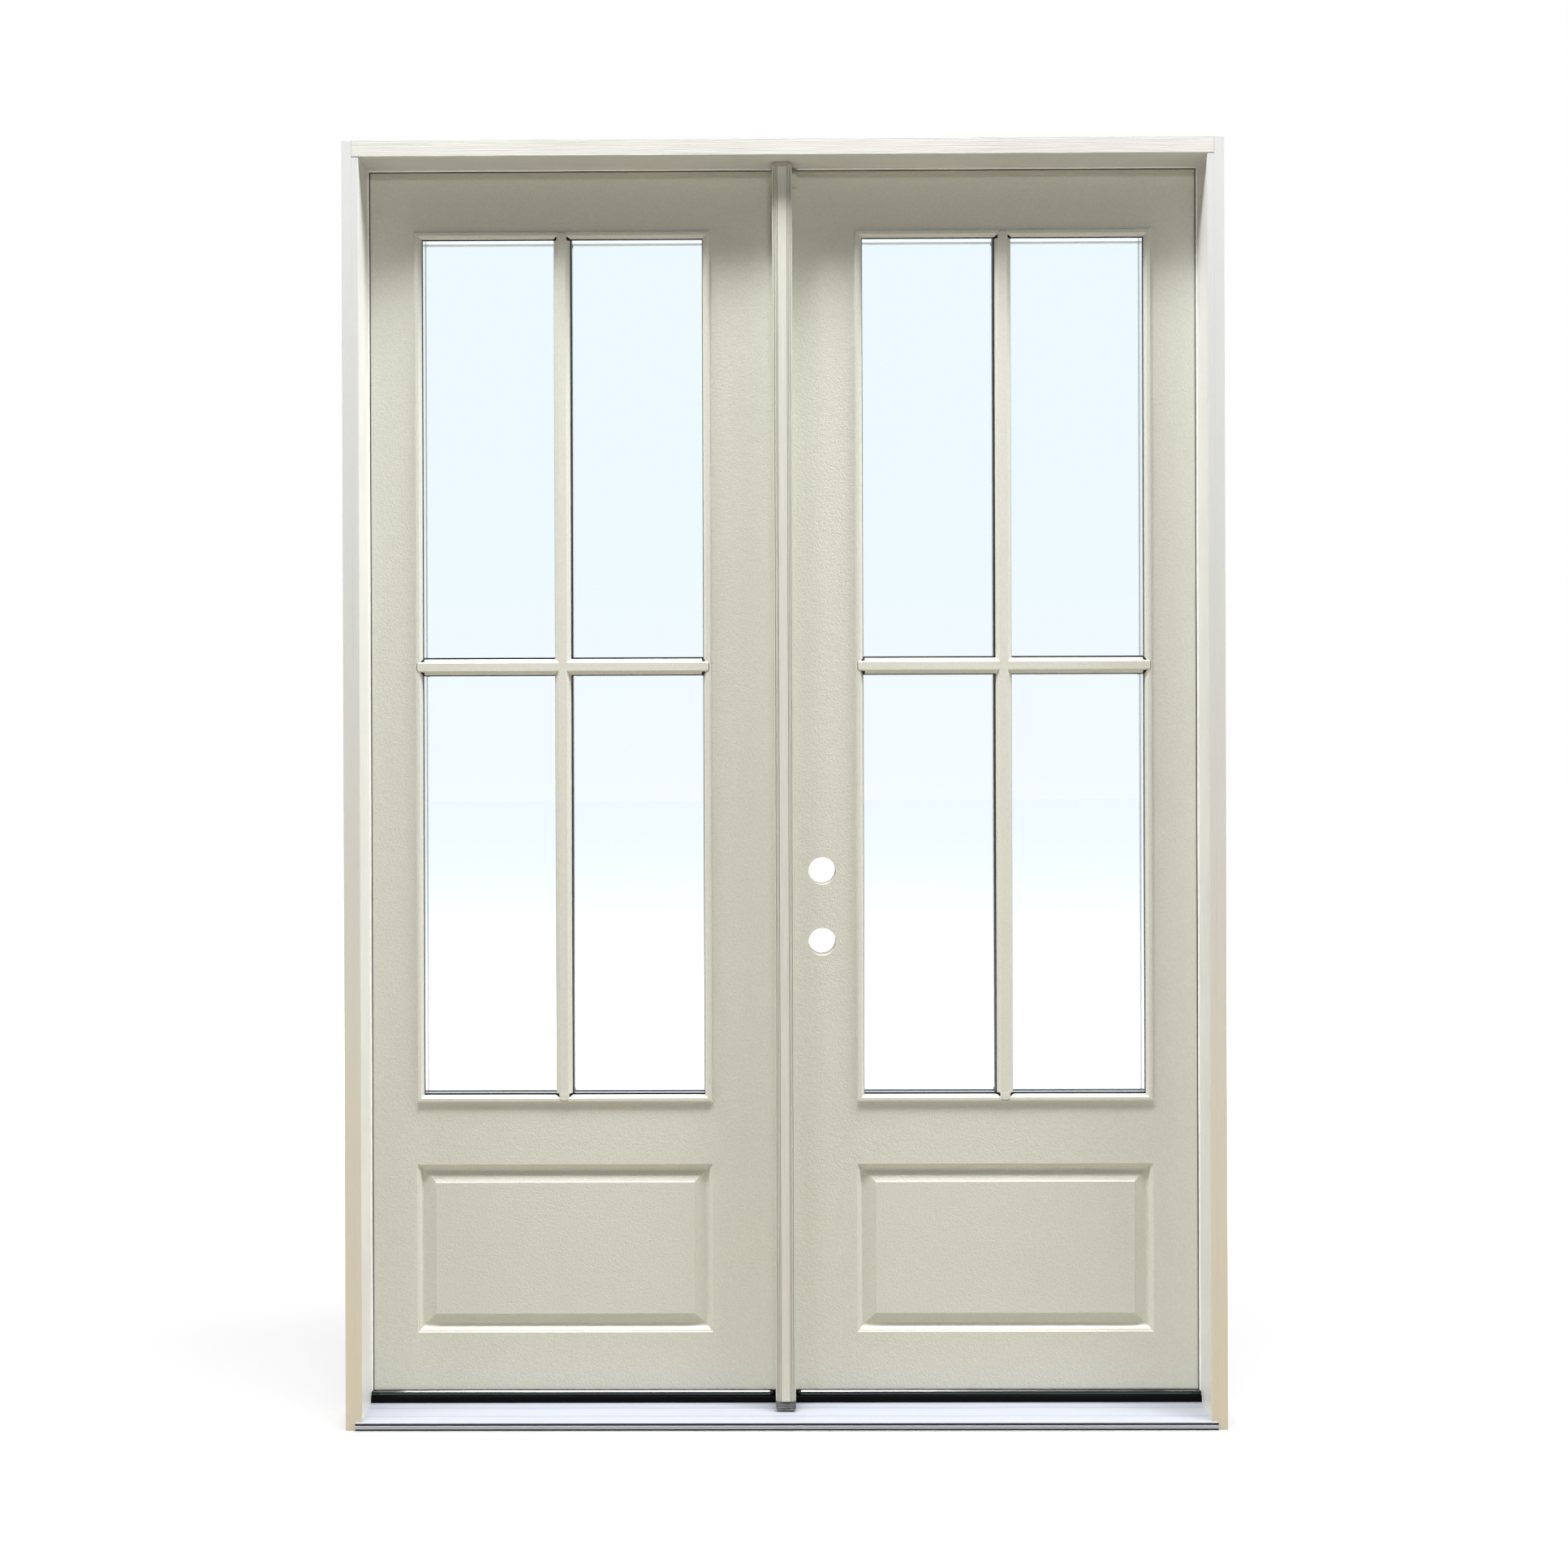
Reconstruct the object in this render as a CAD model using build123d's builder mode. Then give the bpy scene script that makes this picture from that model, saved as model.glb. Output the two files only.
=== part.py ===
"""Double entry door in its frame: two glazed leaves that open inward, jambs, head and sill.

Millimetres. +X runs to the right seen from outside, +Y into the house, +Z up.
The origin is on the floor under the centre of the unit.
"Depth" is the distance behind the outer face of the jambs.
"""
from build123d import *
import os
from math import radians, tan

os.makedirs("parts", exist_ok=True)

# The unit as a whole
unit_width = 1695.4
unit_height = 2482.8
jamb_depth = 115.9

# Jambs and head: a board with a stop planted on it, kerfed for a seal
jamb_leg = 19.05
stop_height = 12.7
arris = 1.2
kerf_width = 3.0
kerf_depth = 8.0

# Gaps round the leaves
hinge_gap = 3.2
head_gap = 3.2
sill_gap = 9.6
seal_gap = 3.15
meeting_gap = 25.3
lock_bevel = 3.0
soft_clearance = 0.3
match_tolerance = 0.01

# Leaves: two moulded skins on a frame of stiles and rails, filled with foam
leaf_thickness = 44.45
skin = 2.0
stile_width = 32.0
top_rail_height = 38.0
bottom_rail_height = 60.0
lock_block_margin = 110.0

# Face layout of a leaf, measured to the outer edges of the mouldings
hinge_border = 100.4
lock_border = 129.9
top_border = 130.5
middle_border = 122.8
bottom_border = 112.8
panel_height = 331.0

# Moulded panel: ogee edge, valley, long slope, small step and field
ogee_lip = 1.2
ogee_width = 12.5
valley_depth = 9.5
valley_width = 2.0
ogee_bend_share = (0.55, 0.62)
upper_bulge_share = (0.68, 0.5)
lower_bulge_share = (0.48, 0.91)
slope_end = 35.0
slope_top = 3.4
field_drop = 1.8
panel_edge_width = 37.0

# Glazing: an insulated unit held between an outer and an inner frame
moulding_width = 14.0
moulding_height = 5.2
moulding_lap = 4.0
moulding_lip_share = 0.3
moulding_bulge_share = (0.3, 0.8)
moulding_crown_share = 0.62
moulding_edge_share = 0.15
glass_setback = 4.0
pane_thickness = 3.2
unit_glass_thickness = 25.4
glass_clearance = 0.5
spacer_width = 11.0
bar_width = 31.0
bar_flat = 15.6
bar_height = 6.2
bar_end = 4.0
bar_end_chamfer = 2.0
shadow_bar_width = 24.0
shadow_bar_thickness = 8.0

# Sill: wooden base, metal deck with a nose, and a height-adjustable cap
nose_overhang = 5.0
nose_height = 15.5
deck_slope = 8.0
deck_thickness = 2.0
groove_depth = 1.6
groove_taper = 0.6
low_groove_bottom = 1.2
low_groove_top = 4.8
high_groove_height = 2.6
high_groove_shoulder = 0.4
nose_arris = 0.8
cap_front = 62.0
cap_top = 38.0
cap_wall = 3.5
cap_round = 1.5

# Soft seals
strip_reach = 2.8
strip_round = 1.0
barb_width = 2.4
sweep_plate = 2.2
fin_thickness = 1.2
fin_count = 3
drip_reach = 7.0
sweep_end_gap = 4.0
corner_pad_height = 52.0
corner_pad_thickness = 2.4

# Astragal: the moulded post fixed to the leaf that opens second
astragal_width = 39.0
astragal_flat = 18.0
astragal_front = 30.0
astragal_step = 4.5
astragal_gap = 3.2
astragal_top_gap = 10.45
astragal_foot_gap = 3.7
flange_seal = 5.0
flange_barb = 4.0
flange_lip = 1.0
bead_quirk = 1.2
bead_crown_share = 0.7
bead_crown_drop = 1.6
boot_depth = 31.4
boot_inset = 1.0
boot_taper = 4.5
boot_taper_height = 9.0
boot_rib = 1.2
boot_rib_count = 5
top_pad_inset = 4.0
top_pad_shoulder_share = 0.55
side_pad_width = 10.0
side_pad_height = 26.0
side_pad_depth = 10.0

# Flush bolts in the astragal
bolt_radius = 5.0
bolt_point = 1.0
bolt_fit = 0.06
bolt_length = 260.0
bolt_rest = 0.5
top_throw = 18.0
bottom_throw = 25.0
socket_radius = 8.0
socket_room = 2.0
knob_height = 24.0
knob_width = 7.0
strike_length = 50.0
strike_width = 26.0
strike_thickness = 1.6

# Holes for a lock and a deadbolt in the leaf that opens first
lock_bore_radius = 26.99
edge_bore_radius = 12.7
backset = 60.3
lock_height = 929.0
bore_spacing = 139.7
strike_hole_depth = 14.0
strike_hole_radius = 11.1

# Hinges
hinge_height = 101.6
hinge_count = 4
hinge_plate = 2.5
hinge_leaf_depth = 36.0
hinge_top_inset = 228.0
hinge_bottom_inset = 330.0
knuckle_radius = 6.35
knuckle_count = 3
knuckle_gap = 0.25
pin_behind = 7.0

# Places worked out from the sizes above
jamb_thickness = jamb_leg + stop_height
half_width = unit_width / 2
leg_face = half_width - jamb_leg
stop_face = half_width - jamb_thickness
leaf_face = jamb_depth - leaf_thickness
stop_depth = leaf_face - seal_gap
hinge_edge = leg_face - hinge_gap
lock_edge = meeting_gap / 2
leaf_top = unit_height - jamb_leg - head_gap
leaf_bottom = cap_top + sill_gap
pin_x = leg_face - hinge_gap / 2
pin_depth = jamb_depth + pin_behind
unit_back = pin_depth + knuckle_radius
jamb_face_y = (nose_overhang - unit_back) / 2

lite_hinge = hinge_edge - hinge_border
lite_lock = lock_edge + lock_border
lite_top = leaf_top - top_border
panel_bottom = leaf_bottom + bottom_border
panel_top = panel_bottom + panel_height
lite_bottom = panel_top + middle_border
lite_middle = (lite_hinge + lite_lock) / 2
lite_centre = (lite_top + lite_bottom) / 2

inner_leg = leaf_thickness - glass_setback - unit_glass_thickness
glass_face = leaf_face + glass_setback
glass_inset = moulding_lap + glass_clearance
bevel_cut = leaf_thickness * tan(radians(lock_bevel))
bore_x = lock_edge + bevel_cut + backset
deadbolt_height = lock_height + bore_spacing
hinge_low = leaf_bottom + hinge_bottom_inset
hinge_high = leaf_top - hinge_top_inset
hinge_centres = [
    hinge_low + (hinge_high - hinge_low) * step / (hinge_count - 1)
    for step in range(hinge_count)
]
cap_under = cap_top - cap_wall
web_face = lock_edge - astragal_gap
bolt_x = (web_face - lock_edge) / 2
bolt_depth = (leaf_face + jamb_depth) / 2
soffit = unit_height - jamb_thickness
rabbet = unit_height - jamb_leg
astragal_top = soffit - astragal_top_gap
astragal_bottom = cap_top + astragal_foot_gap
flange_back = leaf_face - flange_seal


def y(depth):
    """The Y of a place that lies this far behind the outer face of the jambs."""
    return jamb_face_y + depth


def deck_z(depth):
    """Height of the sloping tread at a depth."""
    return nose_height + (depth + nose_overhang) * tan(radians(deck_slope))


def save(piece, name):
    """Label a finished piece and write it to its own file."""
    piece.part.label = name
    export_step(piece.part, f"parts/{name}.step")


def save_together(pieces, name):
    """Write pieces that touch but stay separate solids to one file."""
    whole = Compound([solid for piece in pieces for solid in piece.part.solids()])
    whole.label = name
    export_step(whole, f"parts/{name}.step")


def block(x_from, x_to, depth_from, depth_to, z_from, z_to, mode=Mode.ADD):
    """A straight-sided block between two corners."""
    with BuildSketch(Plane.XY.offset(z_from)) as outline:
        with Locations(((x_from + x_to) / 2, y((depth_from + depth_to) / 2))):
            Rectangle(abs(x_to - x_from), abs(depth_to - depth_from))
    extrude(outline.sketch, amount=z_to - z_from, mode=mode)


def bar_along_x(points, x_from, x_to, mode=Mode.ADD):
    """A section given as (depth, z) points, run along X."""
    with BuildSketch(Plane.YZ.offset(x_from)) as section:
        with BuildLine():
            Polyline(*[(y(depth), z) for depth, z in points], close=True)
        make_face()
    extrude(section.sketch, amount=x_to - x_from, mode=mode)


def post(points, z_from, z_to, mode=Mode.ADD):
    """A plan section given as (x, depth) points, run up Z."""
    with BuildSketch(Plane.XY.offset(z_from)) as section:
        with BuildLine():
            Polyline(*[(x, y(depth)) for x, depth in points], close=True)
        make_face()
    extrude(section.sketch, amount=z_to - z_from, mode=mode)


def hole_along_y(x, z, radius, depth_from, depth_to):
    """A round hole through the thickness of a leaf."""
    with BuildSketch(Plane.XZ.offset(-y(depth_from))) as circle:
        with Locations((x, z)):
            Circle(radius)
    extrude(circle.sketch, amount=depth_from - depth_to, mode=Mode.SUBTRACT)


def hole_along_x(x_from, x_to, depth, z, radius):
    """A round hole into the edge of a leaf or post."""
    with BuildSketch(Plane.YZ.offset(x_from)) as circle:
        with Locations((y(depth), z)):
            Circle(radius)
    extrude(circle.sketch, amount=x_to - x_from, mode=Mode.SUBTRACT)


def hole_along_z(x, depth, z_from, z_to, radius):
    """A round upright hole."""
    with BuildSketch(Plane.XY.offset(z_from)) as circle:
        with Locations((x, y(depth))):
            Circle(radius)
    extrude(circle.sketch, amount=z_to - z_from, mode=Mode.SUBTRACT)


def moulding_ring(section, x_from, x_to, z_from, z_to, depth, outward):
    """Sweep a section round a rectangle with mitred corners.

    The section is drawn with x from the rectangle's edge toward its middle and y out of the face.
    outward is -1 on the outer face of a leaf and 1 on the inner face.
    """
    middle = (x_from + x_to) / 2
    turn = -outward
    first = x_to if turn > 0 else x_from
    last = x_from if turn > 0 else x_to
    start = (middle, y(depth), z_from)
    corners = [(first, z_from), (first, z_to), (last, z_to), (last, z_from)]
    with BuildLine(mode=Mode.PRIVATE) as path:
        Polyline(start, *[(x, y(depth), z) for x, z in corners], start)
    plane = Plane(origin=start, x_dir=(0, 0, 1), z_dir=(turn, 0, 0))
    with BuildSketch(plane) as profile:
        add(section)
    sweep(profile.sketch, path=path.wires()[0], transition=Transition.RIGHT)


# Sections


def panel_edge_section():
    """The moulded edge of a panel: ogee down to a valley, slope up, step to the field."""
    def line_of_the_face(drop):
        bend_x, bend_drop = ogee_bend_share
        ogee_bend = ((ogee_lip + ogee_width) * bend_x, -valley_depth * bend_drop - drop)
        upper_x, upper_drop = upper_bulge_share
        lower_x, lower_drop = lower_bulge_share
        Line((0, -drop), (ogee_lip, -ogee_lip - drop))
        ThreePointArc(
            (ogee_lip, -ogee_lip - drop),
            (ogee_bend[0] * upper_x, (ogee_bend[1] - drop) * upper_drop),
            ogee_bend,
        )
        ThreePointArc(
            ogee_bend,
            ((ogee_bend[0] + ogee_width) * lower_x, -valley_depth * lower_drop - drop),
            (ogee_width, -valley_depth - drop),
        )
        Polyline(
            (ogee_width, -valley_depth - drop),
            (ogee_width + valley_width, -valley_depth - drop),
            (slope_end, -slope_top - drop),
            (slope_end + ogee_lip, -field_drop - drop),
            (panel_edge_width, -field_drop - drop),
        )

    with BuildSketch(mode=Mode.PRIVATE) as section:
        with BuildLine():
            line_of_the_face(0)
            line_of_the_face(skin)
            Line((0, 0), (0, -skin))
            Line((panel_edge_width, -field_drop), (panel_edge_width, -field_drop - skin))
        make_face()
    return section.sketch


def glazing_frame_section(leg):
    """A glazing frame: rounded moulding on the face, and a leg that reaches in to the glass."""
    leg_start = moulding_lap + glass_clearance / 2
    lip = moulding_height * moulding_lip_share
    bulge_x, bulge_rise = moulding_bulge_share
    with BuildSketch(mode=Mode.PRIVATE) as section:
        with BuildLine():
            Line((0, 0), (0, lip))
            ThreePointArc(
                (0, lip),
                (moulding_lap * bulge_x, moulding_height * bulge_rise),
                (moulding_lap, moulding_height),
            )
            Polyline(
                (moulding_lap, moulding_height),
                (moulding_width * moulding_crown_share, moulding_height),
                (moulding_width, moulding_height * moulding_edge_share),
                (moulding_width, -leg),
                (leg_start, -leg),
                (leg_start, 0),
                (0, 0),
            )
        make_face()
    return section.sketch


def sill_outline():
    """The whole section of the sill, which the stops of the jambs stand on."""
    return [
        (-nose_overhang, 0),
        (-nose_overhang, nose_height),
        (cap_front, deck_z(cap_front)),
        (cap_front, cap_top),
        (jamb_depth, cap_top),
        (jamb_depth, 0),
    ]


# Frame


def jamb(side, name):
    """A side jamb: the board behind the leaf's edge, let in for the hinges, and its stop."""
    with BuildPart() as board:
        block(side * leg_face, side * half_width, 0, jamb_depth, 0, unit_height)
        for centre in hinge_centres:
            block(
                side * leg_face, side * (leg_face + hinge_plate),
                jamb_depth - hinge_leaf_depth, jamb_depth,
                centre - hinge_height / 2, centre + hinge_height / 2, Mode.SUBTRACT,
            )
    save(board, f"{name}_jamb")

    with BuildPart() as stop:
        block(side * stop_face, side * leg_face, 0, stop_depth, 0, soffit)
        corners = stop.edges().filter_by(Axis.Z).group_by(Axis.Y)[0]
        fillet(corners.sort_by(Axis.X)[0 if side > 0 else -1], radius=arris)
        block(
            side * (leg_face - kerf_width), side * leg_face,
            stop_depth - kerf_depth, stop_depth, 0, soffit, Mode.SUBTRACT,
        )
        bar_along_x(
            sill_outline(),
            min(side * stop_face, side * leg_face), max(side * stop_face, side * leg_face),
            Mode.SUBTRACT,
        )
    save(stop, f"{name}_stop")


def head():
    """The head: a board between the legs of the jambs, and the stop under its outer part."""
    with BuildPart() as board:
        block(-leg_face, leg_face, 0, jamb_depth, rabbet, unit_height)
        strike_recess(rabbet, rabbet + strike_thickness)
        hole_along_z(
            bolt_x, bolt_depth, rabbet, leaf_top + top_throw - bolt_rest + socket_room,
            socket_radius,
        )
    save(board, "head_jamb")

    with BuildPart() as stop:
        block(-leg_face, leg_face, 0, stop_depth, soffit, rabbet)
        corners = stop.edges().filter_by(Axis.X).group_by(Axis.Y)[0]
        fillet(corners.sort_by(Axis.Z)[0], radius=arris)
        block(
            -leg_face, leg_face, stop_depth - kerf_depth, stop_depth,
            rabbet - kerf_width, rabbet, Mode.SUBTRACT,
        )
    save(stop, "head_stop")


def strike_recess(z_from, z_to, mode=Mode.SUBTRACT, clearance=0.0):
    """The shallow seat of a bolt's strike plate, or the plate itself."""
    block(
        bolt_x - strike_length / 2 + clearance, bolt_x + strike_length / 2 - clearance,
        bolt_depth - strike_width / 2 + clearance, bolt_depth + strike_width / 2 - clearance,
        z_from, z_to, mode,
    )


def strike(z_from, name):
    """A flat strike plate with a round hole for the bolt."""
    with BuildPart() as piece:
        strike_recess(z_from, z_from + strike_thickness, Mode.ADD, soft_clearance / 2)
        hole_along_z(bolt_x, bolt_depth, z_from, z_from + strike_thickness, socket_radius)
    save(piece, name)


def sill():
    """Base, deck and cap, all as long as the space between the legs of the jambs."""
    deck_under = [
        (depth, deck_z(depth) - deck_thickness)
        for depth in (-nose_overhang + deck_thickness, cap_front + cap_wall)
    ]
    block_front = cap_front + 2 * cap_wall
    block_back = jamb_depth - 2 * cap_wall
    socket_bottom = leaf_bottom + bolt_rest - bottom_throw - socket_room
    with BuildPart() as base:
        bar_along_x(
            [
                (-nose_overhang + deck_thickness, 0), deck_under[0],
                (block_front, deck_z(block_front) - deck_thickness),
                (block_front, cap_under), (block_back, cap_under),
                (block_back, deck_z(cap_front) - deck_thickness),
                (jamb_depth, deck_z(cap_front) - deck_thickness), (jamb_depth, 0),
            ],
            -leg_face, leg_face,
        )
        hole_along_z(bolt_x, bolt_depth, socket_bottom, cap_under, socket_radius)
    save(base, "sill_base")

    with BuildPart() as deck:
        front = -nose_overhang
        groove = front + groove_depth
        lip = nose_height - deck_thickness
        high_groove_bottom = lip - high_groove_height
        bar_along_x(
            [
                (front, 0), (front, low_groove_bottom),
                (groove, low_groove_bottom + groove_taper),
                (groove, low_groove_top - groove_taper), (front, low_groove_top),
                (front, high_groove_bottom), (groove, high_groove_bottom + groove_taper),
                (groove, lip - high_groove_shoulder), (front, lip),
                (front, nose_height - nose_arris),
                (front + nose_arris, deck_z(front + nose_arris)),
                (cap_front + cap_wall, deck_z(cap_front + cap_wall)),
                deck_under[1], deck_under[0],
                (front + deck_thickness, 0),
            ],
            -leg_face, leg_face,
        )
    save(deck, "sill_deck")

    with BuildPart() as cap:
        skirt = cap_front + cap_wall
        seat = deck_z(skirt) + soft_clearance
        with BuildSketch(Plane.YZ.offset(-leg_face)) as section:
            with BuildLine():
                Polyline(
                    (y(cap_front), deck_z(cap_front) + soft_clearance),
                    (y(cap_front), cap_top), (y(jamb_depth), cap_top),
                    (y(jamb_depth), deck_z(cap_front) - deck_thickness),
                    (y(jamb_depth - cap_wall), deck_z(cap_front) - deck_thickness),
                    (y(jamb_depth - cap_wall), cap_under), (y(skirt), cap_under),
                    (y(skirt), seat),
                    close=True,
                )
            make_face()
            fillet(section.vertices().group_by(Axis.Y)[-1], radius=cap_round)
        extrude(amount=2 * leg_face)
        strike_recess(cap_top - strike_thickness, cap_top)
        hole_along_z(bolt_x, bolt_depth, cap_under, cap_top, socket_radius)
    save(cap, "sill_cap")


def weatherstrips():
    """Kerf-in seals on the back of the stops, and foam pads at the two bottom corners."""
    strip_back = leaf_face - soft_clearance
    reach = stop_height + strip_reach
    barb_gap = (kerf_width - barb_width) / 2
    for side, name in ((-1, "left_weatherstrip"), (1, "right_weatherstrip")):
        with BuildPart() as strip:
            post(
                [
                    (side * leg_face, stop_depth), (side * (leg_face - reach), stop_depth),
                    (side * (leg_face - reach), strip_back - strip_round),
                    (side * (leg_face - reach + strip_round), strip_back),
                    (side * leg_face, strip_back),
                ],
                cap_top, rabbet,
            )
            block(
                side * (leg_face - kerf_width + barb_gap), side * (leg_face - barb_gap),
                stop_depth - kerf_depth + barb_gap, stop_depth, cap_top, soffit,
            )
        save(strip, name)
    with BuildPart() as strip:
        bar_along_x(
            [
                (stop_depth, rabbet), (stop_depth, rabbet - barb_gap),
                (stop_depth - kerf_depth + barb_gap, rabbet - barb_gap),
                (stop_depth - kerf_depth + barb_gap, rabbet - kerf_width + barb_gap),
                (stop_depth, rabbet - kerf_width + barb_gap),
                (stop_depth, rabbet - reach), (strip_back - strip_round, rabbet - reach),
                (strip_back, rabbet - reach + strip_round), (strip_back, rabbet),
            ],
            -leg_face + reach + soft_clearance, leg_face - reach - soft_clearance,
        )
        block(
            -astragal_width / 2 - strip_round, astragal_width / 2 + side_pad_width,
            stop_depth, leaf_face, rabbet - reach, soffit, Mode.SUBTRACT,
        )
    save(strip, "head_weatherstrip")
    with BuildPart() as pads:
        for side in (-1, 1):
            block(
                side * (leg_face - corner_pad_thickness), side * leg_face,
                leaf_face, jamb_depth - hinge_leaf_depth / 2,
                cap_top, cap_top + corner_pad_height,
            )
    save(pads, "corner_pads")


# Hinges


def hinge_halves(side, name, plate_face, plate_turn, knuckles):
    """One half of every hinge on a side: a let-in plate with its knuckles on the pin's line.

    plate_face is the X of the wood it lies flush with, plate_turn points into that wood.
    """
    pitch = hinge_height / knuckle_count
    plate_back = plate_face + plate_turn * hinge_plate
    with BuildPart() as halves:
        for centre in hinge_centres:
            low = centre - hinge_height / 2
            block(
                side * plate_face, side * plate_back, jamb_depth - hinge_leaf_depth, jamb_depth,
                low, low + hinge_height,
            )
            for knuckle in knuckles:
                z_from = low + pitch * knuckle + knuckle_gap / 2
                z_to = z_from + pitch - knuckle_gap
                block(
                    side * plate_face, side * plate_back, jamb_depth, pin_depth, z_from, z_to
                )
                with BuildSketch(Plane.XY.offset(z_from)) as barrel:
                    with Locations((side * pin_x, y(pin_depth))):
                        Circle(knuckle_radius)
                extrude(barrel.sketch, amount=z_to - z_from)
    save(halves, name)


def hinges(side, name):
    """The jamb's halves and the leaf's halves of one side, knuckle between knuckle."""
    every = range(knuckle_count)
    hinge_halves(side, f"{name}_jamb_hinges", leg_face, 1, every[::2])
    hinge_halves(side, f"{name}_leaf_hinges", hinge_edge, -1, every[1::2])


# Leaves


def cut_hinge_pockets(side):
    """Seats of the hinge plates in the edge of a leaf."""
    for centre in hinge_centres:
        block(
            side * hinge_edge, side * (hinge_edge - hinge_plate),
            jamb_depth - hinge_leaf_depth, jamb_depth,
            centre - hinge_height / 2, centre + hinge_height / 2, Mode.SUBTRACT,
        )


def cut_lock_bevel(side, beveled):
    """Plane the lock edge back toward the outer face so that it clears the astragal."""
    if beveled:
        post(
            [
                (side * (lock_edge - bevel_cut), leaf_face),
                (side * (lock_edge + bevel_cut), leaf_face), (side * lock_edge, jamb_depth),
                (side * (lock_edge - bevel_cut), jamb_depth),
            ],
            leaf_bottom, leaf_top, Mode.SUBTRACT,
        )


def cut_lock_bores(side, drilled):
    """Cross bores for a lock and a deadbolt."""
    if drilled:
        for z in (lock_height, deadbolt_height):
            hole_along_y(side * bore_x, z, lock_bore_radius, leaf_face, jamb_depth)


def cut_edge_bores(side, drilled):
    """Bores from the lock edge to the cross bores."""
    if drilled:
        for z in (lock_height, deadbolt_height):
            hole_along_x(side * lock_edge, side * bore_x, bolt_depth, z, edge_bore_radius)


def leaf_skin(side, name, outward, first):
    """A moulded skin with a glazed opening above and a raised panel below."""
    outer = leaf_face if outward < 0 else jamb_depth
    inner = outer - outward * skin
    lap = moulding_lap
    left, right = sorted((side * lite_lock, side * lite_hinge))
    with BuildPart() as piece:
        block(side * lock_edge, side * hinge_edge, outer, inner, leaf_bottom, leaf_top)
        block(
            left + lap, right - lap, outer, inner,
            lite_bottom + lap, lite_top - lap, Mode.SUBTRACT,
        )
        block(left, right, outer, inner, panel_bottom, panel_top, Mode.SUBTRACT)
        moulding_ring(
            panel_edge_section(), left, right, panel_bottom, panel_top, outer, outward
        )
        block(
            left + panel_edge_width, right - panel_edge_width,
            outer - outward * field_drop, inner - outward * field_drop,
            panel_bottom + panel_edge_width, panel_top - panel_edge_width,
        )
        cut_lock_bevel(side, first)
        cut_lock_bores(side, first)
        if outward > 0:
            cut_hinge_pockets(side)
    save(piece, name)


def leaf_frame(side, name, first):
    """Stiles, rails, lock block and foam between the skins of a leaf."""
    front = leaf_face + skin
    back = jamb_depth - skin
    inner_hinge = hinge_edge - stile_width
    inner_lock = lock_edge + stile_width
    rail_top = leaf_bottom + bottom_rail_height
    rail_under = leaf_top - top_rail_height

    with BuildPart() as stile:
        block(side * inner_hinge, side * hinge_edge, front, back, leaf_bottom, leaf_top)
        cut_hinge_pockets(side)
    save(stile, f"{name}_hinge_stile")

    with BuildPart() as stile:
        block(side * lock_edge, side * inner_lock, front, back, leaf_bottom, leaf_top)
        cut_lock_bevel(side, first)
        cut_edge_bores(side, first)
    save(stile, f"{name}_lock_stile")

    with BuildPart() as rail:
        block(side * inner_lock, side * inner_hinge, front, back, rail_under, leaf_top)
    save(rail, f"{name}_top_rail")

    with BuildPart() as rail:
        block(side * inner_lock, side * inner_hinge, front, back, leaf_bottom, rail_top)
    save(rail, f"{name}_bottom_rail")

    lap = moulding_lap
    block_low = lock_height - lock_block_margin
    block_high = deadbolt_height + lock_block_margin
    if first:
        with BuildPart() as lock_block:
            block(
                side * inner_lock, side * (lite_lock - lap), front, back, block_low, block_high
            )
            cut_lock_bores(side, first)
            cut_edge_bores(side, first)
        save(lock_block, f"{name}_lock_block")

    with BuildPart() as foam:
        block(side * inner_lock, side * inner_hinge, front, back, rail_top, rail_under)
        block(
            side * (lite_lock + lap), side * (lite_hinge - lap), front, back,
            lite_bottom + lap, lite_top - lap, Mode.SUBTRACT,
        )
        if first:
            block(
                side * inner_lock, side * (lite_lock - lap), front, back,
                block_low, block_high, Mode.SUBTRACT,
            )
        for depth_from, depth_to in (
            (front, leaf_face + valley_depth + skin),
            (back, jamb_depth - valley_depth - skin),
        ):
            cut_panel_channel(side, depth_from, depth_to)
    save(foam, f"{name}_foam_core")


def cut_panel_channel(side, depth_from, depth_to):
    """Room in the foam for the valley and slope of a panel's moulded edge."""
    with BuildSketch(Plane.XZ.offset(-y(depth_from))) as channel:
        middle = (side * lite_middle, (panel_bottom + panel_top) / 2)
        width = lite_hinge - lite_lock
        with Locations(middle):
            Rectangle(width, panel_height)
            Rectangle(
                width - 2 * panel_edge_width, panel_height - 2 * panel_edge_width,
                mode=Mode.SUBTRACT,
            )
    extrude(channel.sketch, amount=depth_from - depth_to, mode=Mode.SUBTRACT)
    block(
        side * (lite_lock + panel_edge_width), side * (lite_hinge - panel_edge_width),
        depth_from, depth_from + (depth_to - depth_from) * field_drop / valley_depth,
        panel_bottom + panel_edge_width, panel_top - panel_edge_width, Mode.SUBTRACT,
    )


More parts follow.
